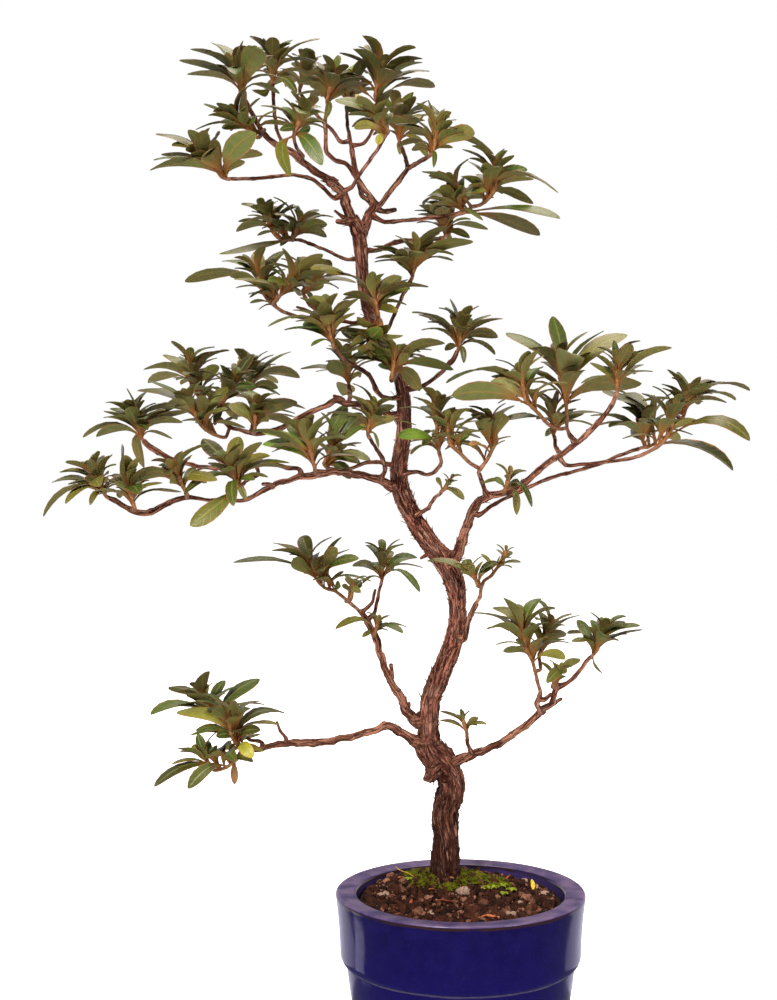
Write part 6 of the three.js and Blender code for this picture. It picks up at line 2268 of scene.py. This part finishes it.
# ---- Wood -----------------------------------------------------------------------------------------
@dataclass(frozen=True)
class Wood:
    """Trunk and limbs under fibrous bark, joined by swollen collars, with strips peeling off."""

    plan: TreePlan
    trunk_step: float = 1.1
    limb_step: float = 1.5
    trunk_sides: int = 56
    fibre_width: float = 1.8
    fibre_length: float = 17.0
    slimness: float = 0.9
    twist: float = 0.012

    def _fibres(self, angles: np.ndarray, radius: float, place: float) -> np.ndarray:
        """Relief of the bark round a limb.

        Args:
            angles: Angles round the limb.
            radius: The limb's radius there, mm.
            place: How far along the limb it lies, in lengths of a fibre.

        Returns:
            Rows of the fibres' ridges, the coarse lumps and the fine grain, by angle.
        """
        spread = max(radius / self.fibre_width, 0.8)
        heights = []
        for angle in angles:
            spot = Vector((math.cos(angle) * spread, math.sin(angle) * spread, place))
            coarse = noise.noise(spot * 0.45 + Vector((9, 3, 1)))
            spot += Vector((coarse, -coarse, 0.0)) * 1.4
            ridge = 1 - 2.2 * abs(noise.noise(spot))
            fine = noise.noise(Vector((spot.x * 2.3, spot.y * 2.3, spot.z * 5)))
            heights.append((ridge, coarse, fine))
        return np.array(heights).T

    def _limb(self, mould: Mould, name: str) -> None:
        """Add one limb: its kinked route, its collar, its fibres and its rounded end.

        Args:
            mould: What takes the limb.
            name: Its name in the plan.
        """
        line = self.plan.fine_wood[name]
        is_trunk = name == "trunk"
        step = self.trunk_step if is_trunk else self.limb_step
        points, radii, along = resampled(line.points, line.radii, step)
        radii = radii * self.slimness
        thick = float(radii.max())
        if not is_trunk:
            collar = self.plan.parents[name][1]
            radii = radii * (1 + 0.35 * (1 - smooth_step(along, collar * 0.5, collar * 2.2 + 1.5)))
            kinks = np.array([[noise.noise(Vector((place * 0.17, lane, thick * 9))) for lane in (0, 5, 9)]
                              for place in along])
            points = points + kinks * (0.5 * radii * smooth_step(along, collar, collar + 6))[:, None]
            radii = radii * (1 + 0.2 * np.maximum(np.sin(along * 0.62 + thick * 9), 0) ** 5)
        points, radii, along = rounded_end(points, radii, along)
        sides = self.trunk_sides if is_trunk else int(clamp(round(thick * 7), 10, 30))
        forward, angles, turned = rings_round(points[:-1], sides)
        rings, grain, crack = [], [], []
        for i, radius in enumerate(radii):
            twist = angles + along[i] * self.twist
            ridge, coarse, fine = self._fibres(twist, radius, along[i] / self.fibre_length + thick)
            old = float(smooth_step(radius, 1.6, 5.0))
            lumps = 0.09 + 0.08 * old + 0.18 * float(smooth_step(radius, 5.6, 6.6))
            depth = (0.1 + 0.07 * old) * radius * (0.55 + 0.45 * old)
            swollen = radius + depth * (ridge - 0.55) + radius * (lumps * coarse + (0.08 + 0.05 * old) * fine)
            rings.append(points[i] + turned[i] * swollen[:, None])
            crack.append(np.clip(0.5 - 0.6 * ridge - 0.3 * fine, 0, 1) * (0.4 + 0.6 * old))
            grain.append(np.column_stack([np.cos(twist) * radius, np.sin(twist) * radius,
                                          np.full(sides, along[i] + 40 * thick)]) * MM)
        age = np.repeat(smooth_step(radii, 1.2, 5.5), sides)
        run = np.repeat(forward, sides, axis=0)
        mould.add(np.vstack([*rings, points[-1]]), ring_faces(len(rings), sides, end_pole=True),
                  grain=np.vstack([*grain, grain[-1][0]]), crack=np.append(np.concatenate(crack), 0.3),
                  age=np.append(age, age[-1]), run=np.vstack([run, run[-1]]), cover=np.append(age, 0))

    def _flake(self, i: int) -> Object:
        """Strip of bark that has come loose at one end.

        Args:
            i: Which of the flakes it is.

        Returns:
            Its object.
        """
        length, width = (6.0, 0.9) if i % 2 else (3.8, 1.2)
        shares = np.linspace(0, 1, 6)
        lift = (0.9 + 0.4 * i) * shares ** 2
        route = np.column_stack([shares * length - 0.6, 0.35 * np.sin(shares * 4 + i), lift - 0.05])
        widths = np.array([0.9, 1.0, 0.75, 0.95, 0.4]) * width
        return moulded(f"flake_{i}", [], *ribbon(route, widths, UP, -0.3, 0.3), sharp=50)

    def build(self) -> list[Object]:
        """Grow the wood, then peel its bark.

        Returns:
            The wood and the flakes.
        """
        mould = Mould()
        for name in self.plan.fine_wood:
            self._limb(mould, name)
        foot = float(self.plan.foot[2])
        bark = FibrousBark("azalea_bark_fibrous", 0.78, 1.5, foot)
        wood = mould.piece("tree_wood", [bark])
        surface = shown(bpy.data.objects.new("bark_surface", wood.data.copy()))
        flakes = [self._flake(i) for i in range(4)]
        strewing = Strewing("bark_flakes", 1.4, 0.3, 0.35, 1.0, 20, 20, 31, follow="run")
        peeled = strewing.strewn(surface, flakes, BARK_STRIP)
        return [carried(wood, "bark", "wood"), carried(peeled, "bark")]


# ---- Leaves ---------------------------------------------------------------------------------------
class LeafSlot(IntEnum):
    """Material slots of a spray."""

    TOP = 0
    UNDER = 1
    SHOOT = 2


@dataclass(frozen=True)
class BladeForm:
    """Form of one azalea leaf: its stations, its fold along the midrib and its skin."""

    stations: tuple[float, ...] = (0, 0.14, 0.3, 0.45, 0.6, 0.73, 0.84, 0.93, 0.98)
    columns: tuple[float, ...] = (1, 0.5, 0, -0.5, -1)
    petiole: float = 0.6
    fuller: float = 1.04
    roundness: float = 0.68
    fold: float = 0.26
    curl: float = 0.25
    skin: float = 0.5
    stalk_skin: float = 1.0
    rib: float = 0.35

    def faces(self) -> tuple[Faces, list[int]]:
        """Faces of a leaf and the slot of each: the top's first in each ring, then the underside's.

        Returns:
            The faces, and their slots.
        """
        tops = len(self.columns) - 1
        faces = ring_faces(len(self.stations), tops + 2, end_pole=True)
        band = [LeafSlot.TOP] * tops + [LeafSlot.UNDER] * 2
        slots = band * (len(self.stations) - 1) + [LeafSlot.UNDER] + band
        return faces, [int(slot) for slot in slots]

    @staticmethod
    def seated(blade: Blade, shoot: Shoot, draws: Draws) -> Blade:
        """Leaf whose stalk starts lower on its shoot, the more it points away from the tip.

        Args:
            blade: The leaf as laid out.
            shoot: The shoot that it grows on.
            draws: Random numbers.

        Returns:
            The leaf, moved and arched; one that fills the whorl stays as it is.
        """
        share = draws.next()
        if blade.upright:
            return blade
        reach = blade.tip - shoot.base
        away = clamp((0.75 - float(unit(reach) @ shoot.axis)) / 1.3, 0, 1)
        base = shoot.below(away * 11 + 3 * share) if away > 0.05 else blade.base
        span = blade.tip - base
        length = float(np.linalg.norm(span))
        outward = span - shoot.axis * float(span @ shoot.axis)
        outward = outward / max(float(np.linalg.norm(outward)), 1e-6)
        pull = blade.pull
        if not blade.bent:
            pull = base + unit(shoot.axis + outward * (0.4 + 0.5 * away)) * (length * 0.5)
        return Blade(blade.node, blade.axis, base, pull, blade.tip, blade.width, blade.side, blade.tint)

    def points(self, blade: Blade, draws: Draws) -> tuple[np.ndarray, np.ndarray]:
        """Points of one leaf and their place on it.

        Args:
            blade: The leaf as laid out.
            draws: Random numbers for its fold and its waves.

        Returns:
            Its points, mm, and their "uv" pairs: across and along.
        """
        t = np.append(self.stations, 1.0)
        _, side, face = blade.frame(t)
        arch = draws.between(0.02, 0.1) * np.sin(np.pi * t) - draws.between(-0.04, 0.045) * t ** 4
        middle = blade.middle(t) + face * (blade.length * arch)[:, None]
        standing = blade.upright > 0.9
        taper, fuller, roundness = (1.9, 0.9, 0.58) if standing else (1.4, self.fuller, self.roundness)
        widest = taper / (taper + roundness)
        share = np.clip((t - 0.08) / 0.92, 0, 1)
        swell = (share / widest) ** taper * ((1 - share) / (1 - widest)) ** roundness
        half = np.maximum(self.petiole * (1 - t), blade.width / 2 * fuller * swell)
        open_ = smooth_step(t, 0.06, 0.34)
        fold, curl = self.fold * draws.between(0.4, 1.5), self.curl * draws.between(-0.2, 1.6)
        phase, wave = draws.between(0, 6.28), draws.between(0.02, 0.1)
        skin = self.stalk_skin + (self.skin - self.stalk_skin) * smooth_step(t, 0.0, 0.3)
        rib = self.rib * (1 - t) * open_
        upper = np.array(self.columns)
        columns = [(u, 1.0) for u in upper] + [(0.0, -1.0)]
        green_from = 0.56 if standing else 0.78 if blade.upright else 0.95
        points = np.empty((len(t), len(columns), 3))
        place = np.empty((len(t), len(columns), 2))
        for k, (u, surface) in enumerate(columns):
            cross = half * open_ * (fold * abs(u) - curl * u * u)
            cross = cross + half * wave * abs(u) * np.sin(5.5 * t + phase + u)
            shell = surface * skin / 2 * (1 - u * u) - (rib if surface < 0 and u == 0 else 0.0)
            points[:, k] = middle + side * (half * u)[:, None] + face * (cross + shell)[:, None]
            place[:, k] = np.column_stack([np.full(len(t), 0.5 + u / 2), t * green_from])
        form = np.vstack([points[:-1].reshape(-1, 3), middle[-1]])
        return form, np.vstack([place[:-1].reshape(-1, 2), place[-1, 0]])


@dataclass(frozen=True)
class Foliage:
    """All leafy sprays: their shoots, buds and leaves, one piece for each of the frame's sprays."""

    plan: TreePlan
    form: BladeForm = BladeForm()
    shoot_sides: int = 8
    dark: str = "#252706"
    light: str = "#625e22"
    green: str = "#345213"

    def _colour(self, blade: Blade, draws: Draws) -> np.ndarray:
        """Colour of a leaf's upper side.

        Args:
            blade: The leaf.
            draws: Random numbers.

        Returns:
            Its linear RGBA.
        """
        if blade.tint is None:
            olive = blended(self.dark, self.light, draws.next())
            return blended(olive, self.green, 0.9 * draws.next() ** 1.5)
        return blended(blade.tint.value, self.light, 0.15 * draws.next())

    def _leaf(self, mould: Mould, blade: Blade, draws: Draws, faces: Faces, slots: list[int]) -> None:
        """Add one leaf.

        Args:
            mould: What takes the leaf.
            blade: The leaf.
            draws: Random numbers.
            faces: Faces of every leaf.
            slots: Material slot of each face.
        """
        points, place = self.form.points(blade, draws)
        colour = np.tile(self._colour(blade, draws), (len(points), 1))
        mould.add(points, faces, slots, uv=place, leaf_colour=colour, age=np.zeros(len(points)))

    def _shoot(self, mould: Mould, shoot: Shoot) -> None:
        """Add a shoot, from inside what carries it, and the bud at its heart.

        Args:
            mould: What takes the shoot.
            shoot: The shoot.
        """
        line = shoot.line
        root = shoot.root if shoot.node == shoot.name else line.points[0]
        points, radii = np.vstack([root, line.points]), np.concatenate([line.radii[:1], line.radii])
        points, radii, along = resampled(points, radii * 0.84, 1.6)
        knots = 1 + 0.2 * np.maximum(np.sin(along * 0.9 + shoot.order), 0) ** 4
        points, radii, along = rounded_end(points, radii * knots, along)
        self._stalk(mould, points, radii, 1 - smooth_step(along, 1, max(along[-1] * 0.7, 5)))
        start = shoot.base + shoot.axis * (shoot.stem * 0.7)
        length, shares = shoot.stem * 0.55 + 3.0, np.append(np.linspace(0, 0.9, 6), 1.0)
        radii = 1.2 * np.sin(np.pi * (0.18 + 0.8 * shares[:-1])) ** 0.8
        self._stalk(mould, start + shoot.axis * (shares * length)[:, None], radii, np.zeros(6))

    def _stalk(self, mould: Mould, points: np.ndarray, radii: np.ndarray, age: np.ndarray) -> None:
        """Add a round stalk along a route whose last point closes it.

        Args:
            mould: What takes the stalk.
            points: Its route, mm.
            radii: Its radius at each point but the last.
            age: Its age at each of them, from 0 to 1.
        """
        _, _, turned = rings_round(points[:-1], self.shoot_sides)
        form = np.vstack([(points[:-1, None] + turned * radii[:, None, None]).reshape(-1, 3), points[-1]])
        mould.add(form, ring_faces(len(radii), self.shoot_sides, end_pole=True), int(LeafSlot.SHOOT),
                  uv=np.zeros((len(form), 2)), leaf_colour=np.ones((len(form), 4)),
                  age=np.append(np.repeat(age, self.shoot_sides), age[-1]))

    def build(self) -> list[Object]:
        """Make a piece of every spray.

        Returns:
            The pieces.
        """
        faces, slots = self.form.faces()
        pieces = []
        for node in dict.fromkeys(shoot.node for shoot in self.plan.shoots.values()):
            mould = Mould()
            for shoot in self.plan.shoots.values():
                if shoot.node != node:
                    continue
                self._shoot(mould, shoot)
                draws = Draws(SEEDS["form"] + shoot.order)
                for blade in shoot.blades:
                    seated = self.form.seated(blade, shoot, draws)
                    self._leaf(mould, seated, draws, faces, slots)
            piece = mould.piece(f"leaves_{node}", [LEAF_TOP, LEAF_UNDER, SHOOT_BARK], 62)
            pieces.append(carried(piece, "leaf", f"spray_{node}"))
        return pieces


# ---- Studio ---------------------------------------------------------------------------------------
@dataclass(frozen=True)
class Lamp:
    """A soft box: its place and aim in metres, its size, its power in watts and its colour."""

    name: str
    place: tuple[float, float, float]
    size: float
    power: float
    colour: str = "#ffffff"
    aim: tuple[float, float, float] = (-0.03, 0.0, 0.28)

    def build(self) -> None:
        """Hang the lamp."""
        light = bpy.data.lights.new(self.name, "AREA")
        light.shape, light.size, light.energy = "SQUARE", self.size, self.power
        light.color = linear(self.colour)[:3]
        lamp = shown(bpy.data.objects.new(self.name, light))
        lamp.location = self.place
        toward = Vector(self.aim) - Vector(self.place)
        lamp.rotation_euler = toward.to_track_quat("-Z", "Y").to_euler()


@dataclass(frozen=True)
class Studio:
    """White studio: a pale floor, white surroundings, soft boxes, and the camera at the eye point."""

    elevation: Elevation
    sensor: float = 36.0
    floor_radius: float = 6.0
    surroundings: float = 0.22
    lamps: tuple[Lamp, ...] = (
        Lamp("key_soft_box", (-0.7, -1.6, 1.4), 0.5, 70.0, "#fff0e6"),
        Lamp("fill_soft_box", (1.3, -1.2, 0.9), 0.7, 24.0, "#fff2e4"),
        Lamp("left_soft_box", (-0.95, 1.5, 0.2), 1.7, 9.0, "#ece4ff"),
        Lamp("right_soft_box", (1.15, 1.35, 0.2), 1.7, 9.0, "#ece4ff"),
        Lamp("window_light", (-1.5, 0.62, -0.4), 0.4, 1.1, "#e8e0ff"),
        Lamp("top_soft_box", (0.1, 0.9, 2.0), 1.2, 30.0, "#fff2e2"),
    )

    def _backdrop(self) -> None:
        """White dome all round, which only the eye sees: it throws no light on the tree."""
        form = bmesh.new()
        bmesh.ops.create_icosphere(form, subdivisions=4, radius=self.floor_radius)
        mesh = bpy.data.meshes.new("backdrop")
        form.to_mesh(mesh)
        form.free()
        white = bpy.data.materials.new("lit_white_backdrop")
        white.use_nodes = True
        white.node_tree.nodes.clear()
        glow = add_node(white.node_tree, "ShaderNodeEmission", inputs={"Color": "#ffffff", "Strength": 1.0})
        add_node(white.node_tree, "ShaderNodeOutputMaterial", inputs={"Surface": glow.outputs[0]})
        mesh.materials.append(white)
        dome = shown(bpy.data.objects.new("backdrop", mesh))
        for kind in ("diffuse", "glossy", "transmission", "shadow", "volume_scatter"):
            setattr(dome, f"visible_{kind}", False)

    def build(self) -> None:
        """Set up the floor, the light and the camera."""
        scene = bpy.context.scene
        scene.view_settings.view_transform = "Standard"
        edge = level_ring(self.floor_radius / MM, turns(96), 0.0)
        floor = moulded("floor", [STUDIO_CARD], edge, [tuple(range(len(edge)))])
        floor.visible_glossy = False
        world = bpy.data.worlds.new("white_surroundings")
        world.use_nodes = True
        world.node_tree.nodes.clear()
        glow = add_node(world.node_tree, "ShaderNodeBackground", inputs={
            "Color": "#ffffff", "Strength": self.surroundings})
        add_node(world.node_tree, "ShaderNodeOutputWorld", inputs={0: glow.outputs[0]})
        scene.world = world
        self._backdrop()
        for lamp in self.lamps:
            lamp.build()
        lens = bpy.data.cameras.new("camera")
        lens.sensor_width = self.sensor
        lens.lens = self.elevation.focal * self.sensor / self.elevation.sheet_height
        lens.clip_start, lens.clip_end = 0.01, 50.0
        camera = shown(bpy.data.objects.new("camera", lens))
        camera.location = Vector(self.elevation.eye) * MM
        camera.rotation_euler = (math.pi / 2 - self.elevation.pitch, 0.0, 0.0)
        scene.camera = camera


def main() -> None:
    """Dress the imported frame: pot, soil, moss, wood and leaves, in a white studio."""
    logging.basicConfig(level=logging.INFO, format="%(name)s: %(message)s")
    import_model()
    pot_height = float(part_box("pot")[1][2]) / MM
    elevation = Elevation(pot_height)
    Studio(elevation).build()
    plan = TreePlan(elevation)
    plan.grow_leaves()
    pot = GlazedPot(pot_height)
    bed = SoilBed(plan.foot, pot)
    for part in (pot, bed, MossPatch(bed), Litter(bed), Wood(plan), Foliage(plan)):
        for piece in part.build():
            LOG.info("%s: %d faces", piece.name, len(piece.data.polygons))
    drain = bpy.data.objects["drain_mesh"]
    for slot in drain.material_slots:
        slot.material = DRAIN_PLASTIC.material()


if __name__ == "__main__":
    main()
